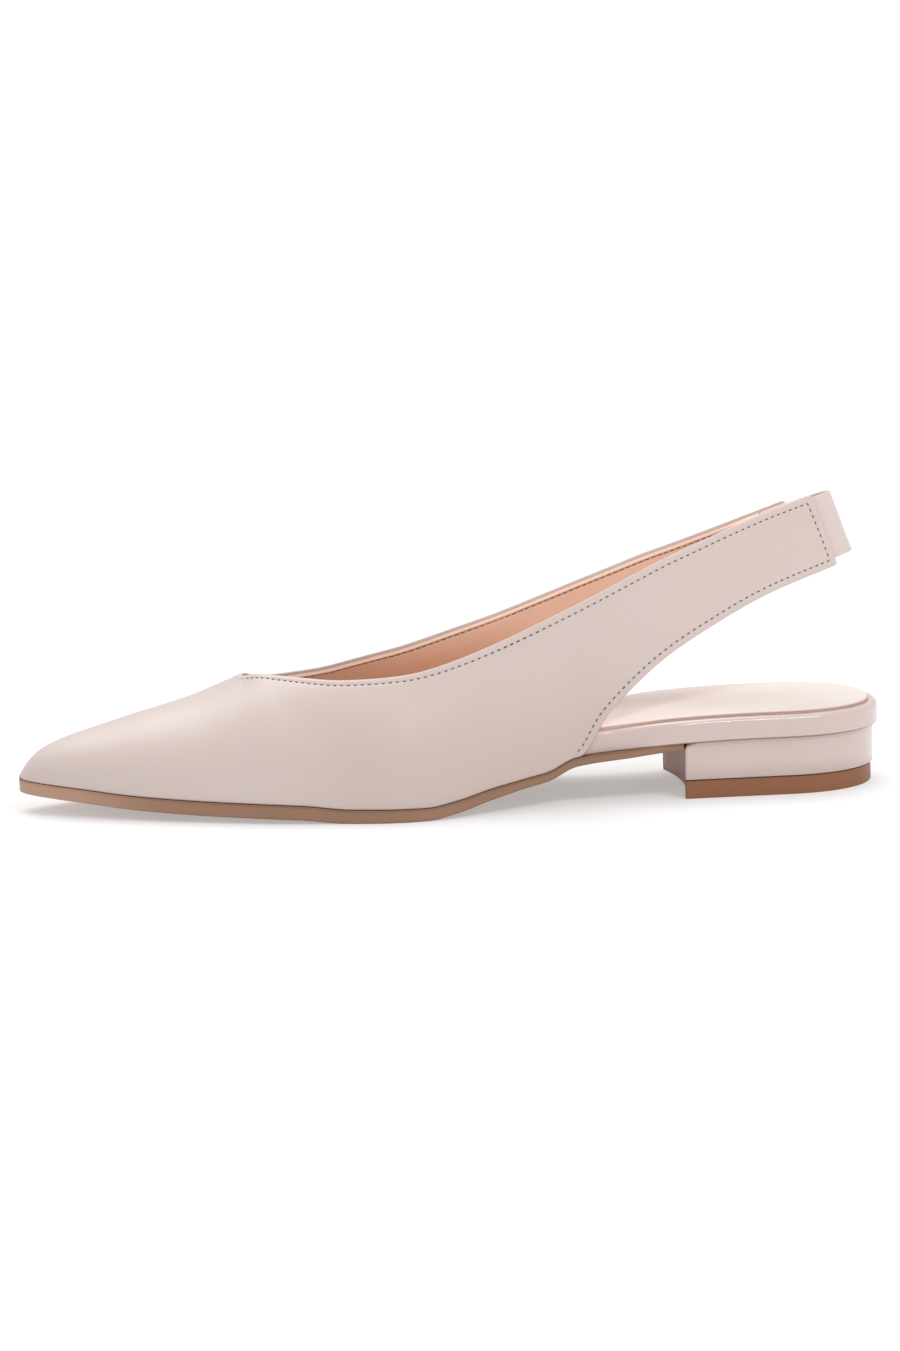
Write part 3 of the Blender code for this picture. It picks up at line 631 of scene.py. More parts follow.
class Paint:
    """Node tree of one material, built by expressions."""

    def __init__(self, name: str) -> None:
        """Starts a material with a Principled shader and Object coordinates.

        Args:
            name: The material's name.
        """
        self.material = bpy.data.materials.new(name)
        self.material.use_nodes = True
        self.nodes, self.links = self.material.node_tree.nodes, self.material.node_tree.links
        self.shader = self.nodes["Principled BSDF"]
        self.place = self.add("ShaderNodeTexCoord", {}, {}).outputs["Object"]

    def connect(self, socket: bpy.types.NodeSocket, value: Value) -> None:
        """Links a wire or socket to a socket, or sets a constant on it.

        Args:
            socket: The input that gets it.
            value: A wire, a socket, a number or a colour.
        """
        if isinstance(value, Wire):
            self.links.new(value.socket, socket)
        elif isinstance(value, bpy.types.NodeSocket):
            self.links.new(value, socket)
        elif isinstance(value, tuple) and len(socket.default_value) == 4:
            socket.default_value = (*value, 1.0)
        else:
            socket.default_value = value

    def add(self, kind: str, settings: dict[str, object], values: dict[int | str, Value]) -> bpy.types.Node:
        """Adds one node.

        Args:
            kind: The node's type.
            settings: Its properties, which are set first.
            values: Input sockets by name or number, with what each one gets.

        Returns:
            The node.
        """
        node = self.nodes.new(kind)
        for name, value in settings.items():
            setattr(node, name, value)
        for key, value in values.items():
            self.connect(node.inputs[key], value)
        return node

    def set(self, **values: Value) -> None:
        """Sets inputs of the shader, with spaces written as underscores."""
        for name, value in values.items():
            self.connect(self.shader.inputs[name.replace("_", " ")], value)

    def noise(self, scale: float, detail: float = 2.0, roughness: float = 0.5) -> Wire:
        """Noise over Object coordinates, from 0 to 1."""
        values = {"Vector": self.place, "Scale": scale, "Detail": detail, "Roughness": roughness}
        return Wire(self, self.add("ShaderNodeTexNoise", {}, values).outputs[0])

    def cells(self, scale: float) -> Wire:
        """Distance to the nearest of scattered points, for a pebbled grain."""
        settings = {"feature": "SMOOTH_F1"}
        values = {"Vector": self.place, "Scale": scale, "Smoothness": 0.6}
        return Wire(self, self.add("ShaderNodeTexVoronoi", settings, values).outputs[0])

    def attribute(self, name: str) -> Wire:
        """A number stored on the piece's points."""
        return Wire(self, self.add("ShaderNodeAttribute", {"attribute_name": name}, {}).outputs["Fac"])

    def blend(self, share: Value, first: Value, second: Value) -> bpy.types.NodeSocket:
        """The first colour where share is 0, the second where it is 1."""
        node = self.add("ShaderNodeMix", {"data_type": "RGBA"}, {0: share, 6: first, 7: second})
        return node.outputs[2]

    def emboss(self, height: Wire, depth: float) -> None:
        """Feeds a height through a Bump node into the shader's normal."""
        node = self.add("ShaderNodeBump", {}, {"Strength": 1.0, "Distance": depth, "Height": height})
        self.set(Normal=node.outputs[0])


@dataclass(frozen=True)
class Leather:
    """Smooth leather: a base tone that clouds a little, a deeper tone where tone is set, and a fine grain."""

    name: str
    colour: Colour
    deep: Colour
    roughness: float = 0.42
    coat: float = 0.0
    coat_roughness: float = 0.2
    sheen: float = 0.0
    clouding: float = 0.5
    grain_scale: float = 1500.0
    grain_depth: float = 0.00002

    def make(self) -> bpy.types.Material:
        """The material.

        Returns:
            The material, under the finish's name.
        """
        paint = Paint(self.name)
        clouds = paint.noise(22.0, 3.0).ramp(0.3, 0.7)
        pores = paint.noise(900.0, 2.0)
        # The tone attribute mostly carries painted shade: in grooves and at seams, over the sole and low on the
        # walls.
        share = paint.attribute("tone") + clouds * (0.12 * self.clouding) + (pores - 0.5) * 0.06
        grain = paint.cells(self.grain_scale) + paint.noise(self.grain_scale * 0.6, 3.0) * 0.6
        paint.set(
            Base_Color=paint.blend(share, self.colour, self.deep),
            Roughness=clouds * 0.05 + (self.roughness - 0.025) + (pores - 0.5) * 0.06,
            Coat_Weight=self.coat,
            Coat_Roughness=self.coat_roughness,
            Sheen_Weight=self.sheen,
        )
        paint.emboss(grain, self.grain_depth)
        return paint.material


@dataclass(frozen=True)
class Moulded:
    """Moulded resin or rubber: an even colour that clouds faintly, with a fine matt skin."""

    name: str
    colour: Colour
    deep: Colour
    roughness: float = 0.45
    skin_depth: float = 0.00003

    def make(self) -> bpy.types.Material:
        """The material.

        Returns:
            The material, under the finish's name.
        """
        paint = Paint(self.name)
        clouds = paint.noise(35.0, 4.0).ramp(0.25, 0.75)
        skin = paint.noise(2600.0, 3.0, 0.6)
        paint.set(
            # The tone attribute mostly carries painted shade: along the outsole, under the upper and on the
            # breast.
            Base_Color=paint.blend(paint.attribute("tone") + clouds * 0.1, self.colour, self.deep),
            Roughness=clouds * 0.08 + (self.roughness - 0.04),
        )
        paint.emboss(skin, self.skin_depth)
        return paint.material


@dataclass(frozen=True)
class Woven:
    """Elastic webbing or thread: matt, with a fuzzy sheen and a fibre-fine relief."""

    name: str
    colour: Colour
    deep: Colour
    roughness: float = 0.8
    fibre_scale: float = 3500.0

    def make(self) -> bpy.types.Material:
        """The material.

        Returns:
            The material, under the finish's name.
        """
        paint = Paint(self.name)
        fibre = paint.noise(self.fibre_scale, 2.0)
        paint.set(
            # The tone attribute carries painted shade: in the elastic's troughs and at the stitches' ends.
            Base_Color=paint.blend(paint.attribute("tone") + (fibre - 0.5) * 0.3, self.colour, self.deep),
            Roughness=self.roughness,
            Sheen_Weight=0.15,
        )
        paint.emboss(fibre, 0.00003)
        return paint.material


UPPER_LEATHER = Leather("rose_leather", (0.600, 0.495, 0.462), (0.460, 0.350, 0.310), 0.40, sheen=0.05)
LINING_LEATHER = Leather("tan_lining_leather", (0.870, 0.620, 0.490), (0.620, 0.280, 0.155), 0.48, clouding=0.8)
RAND_LEATHER = Leather("rose_glazed_leather", (0.600, 0.480, 0.450), (0.300, 0.170, 0.145), 0.30, 0.6, 0.08)
SOCK_LEATHER = Leather("cream_sock_leather", (0.735, 0.680, 0.640), (0.660, 0.500, 0.430), 0.50, clouding=2.5)
OUTSOLE_RESIN = Moulded("tan_resin", (0.465, 0.272, 0.185), (0.172, 0.078, 0.033), 0.42)
TOP_PIECE_RUBBER = Moulded("brown_rubber", (0.250, 0.094, 0.038), (0.150, 0.070, 0.038), 0.50)
# The breast's dark taupe is painted shade in the hollow of the breast.
BREAST_SHADE = Moulded("breast_painted_shade", (0.360, 0.155, 0.108), (0.220, 0.105, 0.075), 0.50)
ELASTIC_WEB = Woven("rose_elastic", (0.640, 0.530, 0.500), (0.560, 0.450, 0.420))
EDGE_THREAD = Woven("taupe_thread", (0.070, 0.042, 0.034), (0.050, 0.030, 0.025), 0.65)
SEAM_THREAD = Woven("brown_thread", (0.120, 0.050, 0.030), (0.050, 0.020, 0.012), 0.65)
EDGE_PAINT = Moulded("salmon_edge_paint", (0.600, 0.340, 0.270), (0.250, 0.110, 0.080), 0.45)


@dataclass
class Piece:
    """Points, quads and tones that become one object of the shoe."""

    name: str
    points: Array
    quads: Array
    tone: Array

    def build(self, finish: Leather | Moulded | Woven, slot: str, nodes: Sequence[str] = ()) -> bpy.types.Object:
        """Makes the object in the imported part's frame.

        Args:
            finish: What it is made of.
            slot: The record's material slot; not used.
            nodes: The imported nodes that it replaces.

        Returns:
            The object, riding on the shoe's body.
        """
        mesh = bpy.data.meshes.new(self.name)
        count = len(self.quads)
        mesh.vertices.add(len(self.points))
        mesh.vertices.foreach_set("co", (self.points + PLACE).astype(np.float32).ravel())
        mesh.loops.add(4 * count)
        mesh.loops.foreach_set("vertex_index", self.quads.astype(np.int32).ravel())
        mesh.polygons.add(count)
        mesh.polygons.foreach_set("loop_start", np.arange(0, 4 * count, 4, dtype=np.int32))
        mesh.polygons.foreach_set("loop_total", np.full(count, 4, dtype=np.int32))
        tone = mesh.attributes.new("tone", "FLOAT", "POINT")
        tone.data.foreach_set("value", self.tone.astype(np.float32))
        mesh.update(calc_edges=True)
        work = bmesh.new()
        work.from_mesh(mesh)
        bmesh.ops.remove_doubles(work, verts=work.verts, dist=MERGE)
        bmesh.ops.recalc_face_normals(work, faces=work.faces)
        work.to_mesh(mesh)
        work.free()
        mesh.shade_smooth()
        mesh.materials.append(finish_of(finish))
        piece = bpy.data.objects.new(self.name, mesh)
        bpy.context.scene.collection.objects.link(piece)
        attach(piece, BODY)
        if nodes:
            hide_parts(*nodes)
        LOG.info("%s: %d points, %d faces", self.name, len(mesh.vertices), len(mesh.polygons))
        return piece


def finish_of(finish: Leather | Moulded | Woven) -> bpy.types.Material:
    """The finish's material, made once."""
    return bpy.data.materials.get(finish.name) or finish.make()


def grid_quads(numbers: Array) -> Array:
    """Quads over a grid of point numbers."""
    corners = (numbers[:-1, :-1], numbers[1:, :-1], numbers[1:, 1:], numbers[:-1, 1:])
    return np.stack(corners, axis=-1).reshape(-1, 4)


def join_grids(name: str, grids: Sequence[Array], tones: Sequence[Array], flipped: Sequence[bool]) -> Piece:
    """One piece from grids of points that meet along their rims.

    Args:
        name: The piece's name.
        grids: Grids of points.
        tones: A tone per point of each grid.
        flipped: Whether each grid's faces are turned over.

    Returns:
        The piece, whose rims merge when it is built.
    """
    quads, start = [], 0
    for grid, over in zip(grids, flipped):
        numbers = np.arange(start, start + grid.shape[0] * grid.shape[1]).reshape(grid.shape[:2])
        faces = grid_quads(numbers)
        quads.append(faces[:, ::-1] if over else faces)
        start += numbers.size
    points = np.concatenate([grid.reshape(-1, 3) for grid in grids])
    return Piece(name, points, np.concatenate(quads), np.concatenate([tone.ravel() for tone in tones]))


@dataclass(frozen=True)
class Crease:
    """A soft trough (depth > 0) or ridge (depth < 0) in the leather, seen from the side."""

    side: Side
    start: tuple[float, float]
    end: tuple[float, float]
    width: float
    depth: float

    def sink(self, points: Array) -> Array:
        """How far each point sinks: depth * exp(-(d / width)^2), d the distance to the line in side view.

        Args:
            points: Points, in metres.

        Returns:
            A depth per point, below 0 where a ridge rises.
        """
        start, end = np.array(self.start), np.array(self.end)
        run = end - start
        flat = points[..., [0, 2]]
        share = np.clip(((flat - start) @ run) / (run @ run), 0.0, 1.0)
        away = np.linalg.norm(flat - start - share[..., None] * run, axis=-1)
        return self.depth * bump(away, self.width)


CREASES = [
    Crease(Side.LATERAL, (0.078, 0.034), (0.092, 0.026), 0.0050, 0.00030),
    Crease(Side.LATERAL, (0.103, 0.021), (0.118, 0.011), 0.0060, 0.00022),
    Crease(Side.LATERAL, (0.090, 0.030), (0.104, 0.020), 0.0045, -0.00016),
    Crease(Side.LATERAL, (0.150, 0.050), (0.166, 0.036), 0.0070, 0.00025),
    Crease(Side.MEDIAL, (0.078, 0.032), (0.094, 0.022), 0.0050, 0.00030),
    Crease(Side.MEDIAL, (0.104, 0.020), (0.118, 0.012), 0.0060, 0.00022),
    Crease(Side.MEDIAL, (0.150, 0.046), (0.166, 0.034), 0.0070, 0.00025),
]


class SewnLine(NamedTuple):
    """A line of stitches on one side of the upper, at a distance in from its open edges."""

    at: Array
    v: Array
    points: Array


class UpperNet:
    """Fine grid over one side of the upper, closer together at its edges, with what is measured on it."""

    near_edge = np.array([0.0, 0.05, 0.13, 0.26, 0.42, 0.65, 0.95, 1.3, 1.6, 1.85, 2.1, 2.35, 2.6, 2.9, 3.3]) * MM
    near_share = 0.85
    front_gap = 0.004
    end_gap = 0.02
    corner_top = 1.0 * MM
    corner_foot = 1.1 * MM
    sewn_in = 2.15 * MM
    ease_width = 4.0 * MM
    ease_reach = 11.0 * MM
    ease_starts = 1.6 * MM
    ease_full = 5.5 * MM
    steady_width = 3.0 * MM
    steady_back = 6

    def __init__(self, surface: SideSurface, vamp_steps: int, section_steps: int, rows: int) -> None:
        """Lays the grid.

        Args:
            surface: The side's surface.
            vamp_steps: Stations from the toe tip to the throat.
            section_steps: Stations for each section behind it.
            rows: Rows between the closer ones at foot and top.
        """
        self.surface = surface
        self.pitch = surface.pitch()
        self.stations = self.lay_stations(vamp_steps, section_steps)
        self.arc = surface.heights(self.stations)
        self.at, self.v = self.lay_rows(rows)
        self.points = self.ease_throat(surface.points(self.at, self.v))
        self.from_throat = np.linalg.norm(self.points - surface.points(0.0, 1.0), axis=-1)
        self.behind = self.stations >= -CLOSE
        self.from_end = (surface.last - self.at) * self.pitch

    def lay_stations(self, vamp_steps: int, section_steps: int) -> Array:
        """Section numbers: even ones, and close ones in front of the throat and at the strap's end.

        Args:
            vamp_steps: Even steps from toe to throat.
            section_steps: Even steps between two sections.

        Returns:
            Section numbers in rising order, below 0 in front of the throat.
        """
        form, last = self.surface.form, self.surface.last
        even = np.concatenate([
            np.linspace(-1.0, 0.0, vamp_steps + 1),
            np.linspace(0.0, last, int(last) * section_steps + 1)[1:],
        ])
        front = np.sqrt(1.0 - self.near_edge[::2] / (form.throat * form.length)) - 1.0
        end = last - self.near_edge / self.pitch
        clear = (even < front[-1] - self.front_gap) | ((even > 0.0) & (even < end[-1] - self.end_gap))
        return np.unique(np.concatenate([even[clear], front, end]))

    def lay_rows(self, rows: int) -> tuple[Array, Array]:
        """Section number and v of each grid point, with the strap end's corners rounded.

        Args:
            rows: Even rows between the close ones at both edges.

        Returns:
            Section numbers and v, a row per station.
        """
        length = self.arc[:, -1:]
        near = np.minimum(self.near_edge, length / 2.0 * np.linspace(0.0, self.near_share, len(self.near_edge)))
        share = np.linspace(0.0, 1.0, rows + 2)[1:-1]
        middle = mix(near[:, -1:], length - near[:, -1:], share)
        height = np.concatenate([near, middle, length - near[:, ::-1]], axis=1)
        away = (self.surface.last - self.stations[:, None]) * self.pitch + np.zeros_like(height)
        for radius, rise, sign in ((self.corner_foot, height, 1.0), (self.corner_top, length - height, -1.0)):
            away, turned = round_corner(away, rise, radius)
            height = height + sign * (turned - rise)
        return self.surface.last - away / self.pitch, self.surface.v_at(self.arc, height)

    def ease_throat(self, points: Array) -> Array:
        """The grid with the bend at the throat's station evened out, away from the open edge.

        Each point moves there towards a mean over the stations, weighted by exp(-(d / width)^2), with d the
        distance between their feet.

        Args:
            points: The grid's points.

        Returns:
            The grid with the bend evened out.
        """
        form, run = self.surface.form, points[:, 0, 0]
        weight = bump(run[:, None] - run, self.ease_width) * np.gradient(run)
        mean = np.einsum("ik,kjc->ijc", weight / weight.sum(axis=1, keepdims=True), points)
        topline = self.surface.points(np.linspace(0.0, 3.0, 200), 1.0)
        share = bump(run - form.throat * form.length, self.ease_reach)[:, None]
        share = share * smooth_step(self.ease_starts, self.ease_full, nearest(points, topline))
        return mix(points, mean, share[..., None])

    def face_out(self) -> Array:
        """Unit normals out of the upper, level across the crest and steadied round toe tip and throat.

        Returns:
            A unit vector per grid point.
        """
        run = np.gradient(self.points, axis=0)
        rise = np.gradient(self.points, axis=1)
        normal = unit(np.cross(run, rise) * -self.surface.side.value)
        crest = self.stations <= 0.0
        normal[crest, -1, 1] = 0.0
        throat = int(np.argmin(np.abs(self.stations)))
        anchor = unit(normal[throat - self.steady_back, -1])
        away = np.linalg.norm(self.points - self.points[throat, -1], axis=-1)
        share = bump(away, self.steady_width)
        normal = unit(mix(normal, anchor, share[..., None]))
        normal[0] = (-1.0, 0.0, 0.0)
        return normal

    def at_depth(self, depth: Array) -> Array:
        """The grid's points, moved in by a depth along their normals."""
        return self.points - self.normal * depth[..., None]


class Easing:
    """Evens out the bend of the upper's heights round the throat.

    A point's new height is that of the plane laid through the points round it, each weighted by its area times
    exp(-(d / width)^2), with d its distance in plan.
    """

    width = 3.0 * MM
    full = 5.0 * MM
    reach = 12.0 * MM
    chunk = 600

    def __init__(self, nets: Sequence[UpperNet]) -> None:
        """Collects the points of both sides round the throat, with their areas.

        Args:
            nets: The nets of both sides.
        """
        self.throat = nets[0].points[int(np.argmin(np.abs(nets[0].stations))), -1]
        points, areas = [], []
        for net in nets:
            along, up = (np.gradient(net.points, axis=axis) for axis in (0, 1))
            close = net.from_throat < self.reach + 2.0 * self.width
            points.append(net.points[close])
            areas.append(np.linalg.norm(np.cross(along, up), axis=-1)[close])
        self.points, self.areas = np.concatenate(points), np.concatenate(areas)

    def plane_height(self, points: Array) -> Array:
        """Height of the weighted plane at each of a few points, by least squares.

        Args:
            points: Points, in metres.

        Returns:
            A height per point.
        """
        gap = self.points - points[:, None]
        weight = self.areas * bump(np.hypot(gap[..., 0], gap[..., 1]), self.width)
        basis = np.stack([np.ones(gap.shape[:2]), gap[..., 0] / self.width, gap[..., 1] / self.width])
        left = np.einsum("ips,jps,ps->pij", basis, basis, weight)
        right = np.einsum("ips,ps,ps->pi", basis, gap[..., 2], weight)
        return points[:, 2] + np.linalg.solve(left, right[..., None])[:, 0, 0]

    def apply(self, points: Array) -> Array:
        """The points, with their heights eased where they are near the throat.

        Args:
            points: Points in an array of any shape.

        Returns:
            The points in the same shape.
        """
        flat = points.reshape(-1, 3).copy()
        away = np.linalg.norm(flat - self.throat, axis=1)
        close = np.flatnonzero(away < self.reach)
        for part in np.array_split(close, max(1, len(close) // self.chunk)):
            share = 1.0 - smooth_step(self.full, self.reach, away[part])
            flat[part, 2] = mix(flat[part, 2], self.plane_height(flat[part]), share)
        return flat.reshape(points.shape)


@dataclass(frozen=True)
class LeatherShade:
    """Painted shade on the leather: how much deeper it gets in the stitch line, just over the sole and low beside
    the arch.
    """

    stitches: float = 0.15
    stitches_width: float = 0.35 * MM
    over_sole: float = 0.30
    over_sole_width: float = 0.5 * MM
    arch: float = 0.34
    arch_full: float = 14.0 * MM
    arch_top: float = 46.0 * MM
    arch_starts: float = 60.0 * MM
    arch_on: float = 125.0 * MM

    def at(self, net: UpperNet, sewn: Array, calm: Array) -> Array:
        """The painted shade over one side: the sum of three soft bands.

        Args:
            net: The side's net.
            sewn: Distances to the stitch line.
            calm: Share of the relief, 0 at throat and rim.

        Returns:
            A tone per grid point.
        """
        along, height = net.points[..., 0], net.points[..., 2]
        stitches = self.stitches * bump(sewn, self.stitches_width) * calm
        over_sole = self.over_sole * bump(height - height[:, :1], self.over_sole_width)
        arch = self.arch * (1.0 - smooth_step(self.arch_full, self.arch_top, height))
        return stitches + over_sole + arch * smooth_step(self.arch_starts, self.arch_on, along)


@dataclass(frozen=True)
class LiningShade:
    """Painted shade on the lining: how much deeper it gets below its seam, towards the toe, low at the waist and
    in the seam's groove.
    """

    below: float = 0.35
    above_seam: float = 1.9 * MM
    below_seam: float = 2.8 * MM
    toe: float = 0.30
    toe_full: float = 85.0 * MM
    toe_ends: float = 150.0 * MM
    waist: float = 0.35
    waist_along: float = 130.0 * MM
    waist_width: float = 26.0 * MM
    waist_starts: float = 2.5 * MM
    waist_full: float = 9.0 * MM
    groove: float = 0.6
    groove_width: float = 0.30 * MM

    def at(self, net: UpperNet, edge: Array, sewn: Array) -> Array:
        """The painted shade over one side: a step at the seam, a soft patch at the waist and a thin band in the
        groove.

        Args:
            net: The side's net.
            edge: Distances to the edges that are glued.
            sewn: Distances to the stitch line.

        Returns:
            A tone per grid point.
        """
        along = net.points[..., 0]
        deep = self.below + self.toe * (1.0 - smooth_step(self.toe_full, self.toe_ends, along))
        waist = smooth_step(self.waist_starts, self.waist_full, edge)
        waist = waist * bump(along - self.waist_along, self.waist_width)
        step = deep * smooth_step(self.above_seam, self.below_seam, edge)
        return step + self.waist * waist + self.groove * bump(sewn, self.groove_width)


@dataclass
class Upper:
    """Vamp, quarters and straps: a folded leather outside, a lining inside, and the stitching through both."""

    form: ShoeForm
    vamp_steps: int = 70
    section_steps: int = 14
    rows: int = 16
    fold_rise: float = 0.10 * MM
    fold_inset: float = 1.15 * MM
    fold_width: float = 0.75 * MM
    inner_slant: float = 1.3 * MM
    stitch_sink: float = 0.16 * MM
    stitch_width: float = 0.40 * MM
    lining_below: float = 1.35 * MM
    lining_play: float = 0.05 * MM
    puff_rise: float = 0.16 * MM
    puff_inset: float = 1.45 * MM
    puff_width: float = 0.50 * MM
    groove_depth: float = 0.22 * MM
    groove_width: float = 0.35 * MM
    seam_sink: float = 0.14 * MM
    edge_sink: float = 0.10 * MM
    level_before: float = 0.3
    level_share: float = 0.7
    sew_stations: int = 900
    sew_rows: int = 241
    sew_smooth: int = 9
    leather_tones: LeatherShade = LeatherShade()
    lining_tones: LiningShade = LiningShade()

    def __post_init__(self) -> None:
        """Lays a net on each side, draws edges and seams, and eases them all round the throat."""
        counts = self.vamp_steps, self.section_steps, self.rows
        self.nets = {side: UpperNet(SideSurface(self.form, side), *counts) for side in Side}
        nets = list(self.nets.values())
        self.open_edge = np.concatenate([self.fine_edge(net, True) for net in nets])
        sewn = {side: self.sew(net) for side, net in self.nets.items()}
        self.easing = Easing(nets)
        self.open_edge = self.easing.apply(self.open_edge)
        self.glued_edge = self.easing.apply(np.concatenate([self.fine_edge(net, False) for net in nets]))
        self.seams = {
            side: line._replace(points=self.easing.apply(line.points)) for side, line in sewn.items()
        }
        for net in nets:
            net.points = self.easing.apply(net.points)
        self.share_crest([net.points for net in nets])
        for net in nets:
            net.normal = net.face_out()
        self.share_crest([net.normal for net in nets])
        for net in nets:
            net.normal = unit(net.normal)
        self.rim = np.concatenate([self.net_rim(net) for net in nets] + [self.open_edge])

    def share_crest(self, grids: Sequence[Array]) -> None:
        """Gives both sides the mean of their values along the crest.

        Args:
            grids: A grid of each side, which is changed in place.
        """
        crest = [net.stations <= CLOSE for net in self.nets.values()]
        mean = (grids[0][crest[0], -1] + grids[1][crest[1], -1]) / 2.0
        for grid, rows in zip(grids, crest):
            grid[rows, -1] = mean

    def fine_edge(self, net: UpperNet, with_end: bool) -> Array:
        """Closely spaced points along one side's open edges, with or without the strap's end.

        Args:
            net: The side's net.
            with_end: Whether the strap's end is among them.

        Returns:
            Points on the outer surface.
        """
        surface = net.surface
        top = surface.points(np.linspace(0.0, surface.last, 1300), 1.0)
        foot = surface.points(np.linspace(surface.first_clear - 0.85, surface.last, 600), 0.0)
        end = surface.points(surface.last, np.linspace(0.0, 1.0, 120))
        return np.concatenate([top, foot, end] if with_end else [top, foot])

    def net_rim(self, net: UpperNet) -> Array:
        """The grid points round one side: feather line, lower edge, strap end and topline."""
        return np.concatenate([net.points[:, 0], net.points[-1], net.points[net.behind, -1]])

    def sew(self, net: UpperNet) -> SewnLine:
        """The stitch line of one side, where the distance to the open edges is just right.

        It runs from the crest along the topline, down the strap's end with round corners, and back along the
        lower edge to the sole.

        Args:
            net: The side's net.

        Returns:
            The line, with a point every tenth of a millimetre.
        """
        surface, form, inset = net.surface, self.form, net.sewn_in
        first = math.sqrt(1.0 - inset / (form.throat * form.length)) - 1.0
        behind = np.linspace(0.0, surface.last - inset / net.pitch, self.sew_stations)
        at = np.concatenate([np.linspace(first, 0.0, 14)[:-1], behind])
        v = np.linspace(0.0, 1.0, self.sew_rows)
        away = nearest(surface.points(at[:, None], v), self.open_edge)
        inside = away >= inset
        inside[0, -1] = True
        rows = np.arange(len(at))

        def crossing(last: Array, out: Array) -> Array:
            """v where the distance falls to the inset, between the last row inside and the next one out."""
            fall = np.maximum(away[rows, last] - away[rows, out], TINY)
            share = np.clip((away[rows, last] - inset) / fall, 0.0, 1.0)
            return mix(last, out, share) / (len(v) - 1)

        high = len(v) - 1 - np.argmax(inside[:, ::-1], axis=1)
        low = np.argmax(inside, axis=1)
        top = crossing(high, np.minimum(high + 1, len(v) - 1))
        foot = crossing(low, np.maximum(low - 1, 0))
        clear = np.flatnonzero(low > 0)[::-1]
        down = np.linspace(top[-1], foot[-1], 60)[1:-1]
        path_at = np.concatenate([at, np.full_like(down, at[-1]), at[clear]])
        path_v = np.concatenate([top, down, foot[clear]])
        run = run_along(surface.points(path_at, path_v))
        even_run = np.linspace(0.0, run[-1], int(run[-1] / (0.1 * MM)))
        kernel = bump(np.linspace(-1.0, 1.0, 2 * self.sew_smooth + 1), 0.6)
        kernel /= kernel.sum()
        paths = (np.interp(even_run, run, path) for path in (path_at, path_v))
        at, v = (np.convolve(np.pad(path, self.sew_smooth, mode="edge"), kernel, mode="valid") for path in paths)
        return SewnLine(at, v, surface.points(at, v))

    def dent(self, net: UpperNet) -> Array:
        """How far the leather sinks in its listed creases.

        Args:
            net: The side's net.

        Returns:
            A depth per grid point.
        """
        sunk = np.zeros(net.points.shape[:2])
        for crease in CREASES:
            if crease.side is net.surface.side:
                sunk = sunk + crease.sink(net.points)
        return sunk * smooth_step(0.0, 4.0 * MM, nearest(net.points, self.glued_edge))

    def round_over(self, net: UpperNet, radius: float) -> Array:
        """Share of a ply's half thickness near its rim: a quarter circle, sqrt(1 - (1 - d / radius)^2)."""
        near = np.clip(nearest(net.points, self.rim) / radius, 0.0, 1.0)
        return np.sqrt(np.maximum(1.0 - (1.0 - near) ** 2, 0.0))

    def leather(self) -> Piece:
        """The outside: its skin rises in the folded edge, sinks along the stitches and rolls over at the rim.

        Returns:
            The leather of both sides, as one piece.
        """
        grids, tones, flipped = [], [], []
        half = self.form.outer_ply / 2.0
        for side, net in self.nets.items():
            thick = half * self.round_over(net, half * 1.1)
            sewn = nearest(net.points, self.seams[side].points)
            edge = nearest(net.points, self.open_edge)
            calm = smooth_step(1.0 * MM, 10.0 * MM, net.from_throat) * (thick / half)
            fold = self.fold_rise * bump(edge - self.fold_inset, self.fold_width)
            fold = fold - self.stitch_sink * bump(sewn, self.stitch_width)
            middle = -half - self.dent(net)
            outer = middle + thick + fold * calm
            inner = middle - half * self.round_over(net, self.inner_slant)
            tone = self.leather_tones.at(net, sewn, calm)
            grids += [net.at_depth(-outer), net.at_depth(-inner)]
            tones += [tone, np.zeros_like(tone)]
            flipped += [False, True]
        return join_grids("upper_leather", grids, tones, flipped)

    def lining_middle(self, edge: Array, from_end: Array) -> Array:
        """Depth of the lining's middle under the outer surface.

        Beside the topline it tucks in behind the folded leather. At a strap's end it stands off by the elastic.

        Args:
            edge: Distances to the edges that are glued.
            from_end: Distances to the strap's end.

        Returns:
            Depths, in metres.
        """
        form = self.form
        plain = form.outer_ply + self.lining_play + form.lining_ply / 2.0
        tucked = mix(form.outer_ply * 0.5, plain, smooth_step(0.55, 1.15, edge / self.lining_below))
        pocket = 1.0 - smooth_step(form.pocket_full, form.pocket_thickens, from_end)
        room = (form.elastic_thick + 2.0 * form.clearance) * pocket
        return tucked + room * smooth_step(0.5 * MM, 2.4 * MM, edge)

    def lining(self) -> Piece:
        """The lining: a puffed band between edge and seam, a groove along the seam, and a smooth wall below.

        Returns:
            The lining of both sides, as one piece.
        """
        grids, tones, flipped = [], [], []
        half = self.form.lining_ply / 2.0
        for side, net in self.nets.items():
            edge = nearest(net.points, self.glued_edge)
            thin = mix(0.4, 1.0, smooth_step(0.5, 1.1, edge / self.lining_below))
            thick = half * self.round_over(net, half * 1.2) * thin
            sewn = nearest(net.points, self.seams[side].points)
            middle = -self.lining_middle(edge, net.from_end) - self.dent(net)
            puff = self.puff_rise * bump(edge - self.puff_inset, self.puff_width)
            puff = puff - self.groove_depth * bump(sewn, self.groove_width)
            inner = middle - thick - puff * (thick / half)
            tone = self.lining_tones.at(net, edge, sewn)
            grids += [net.at_depth(-middle - thick), net.at_depth(-inner)]
            tones += [tone, tone]
            flipped += [False, True]
        return join_grids("upper_lining", grids, tones, flipped)

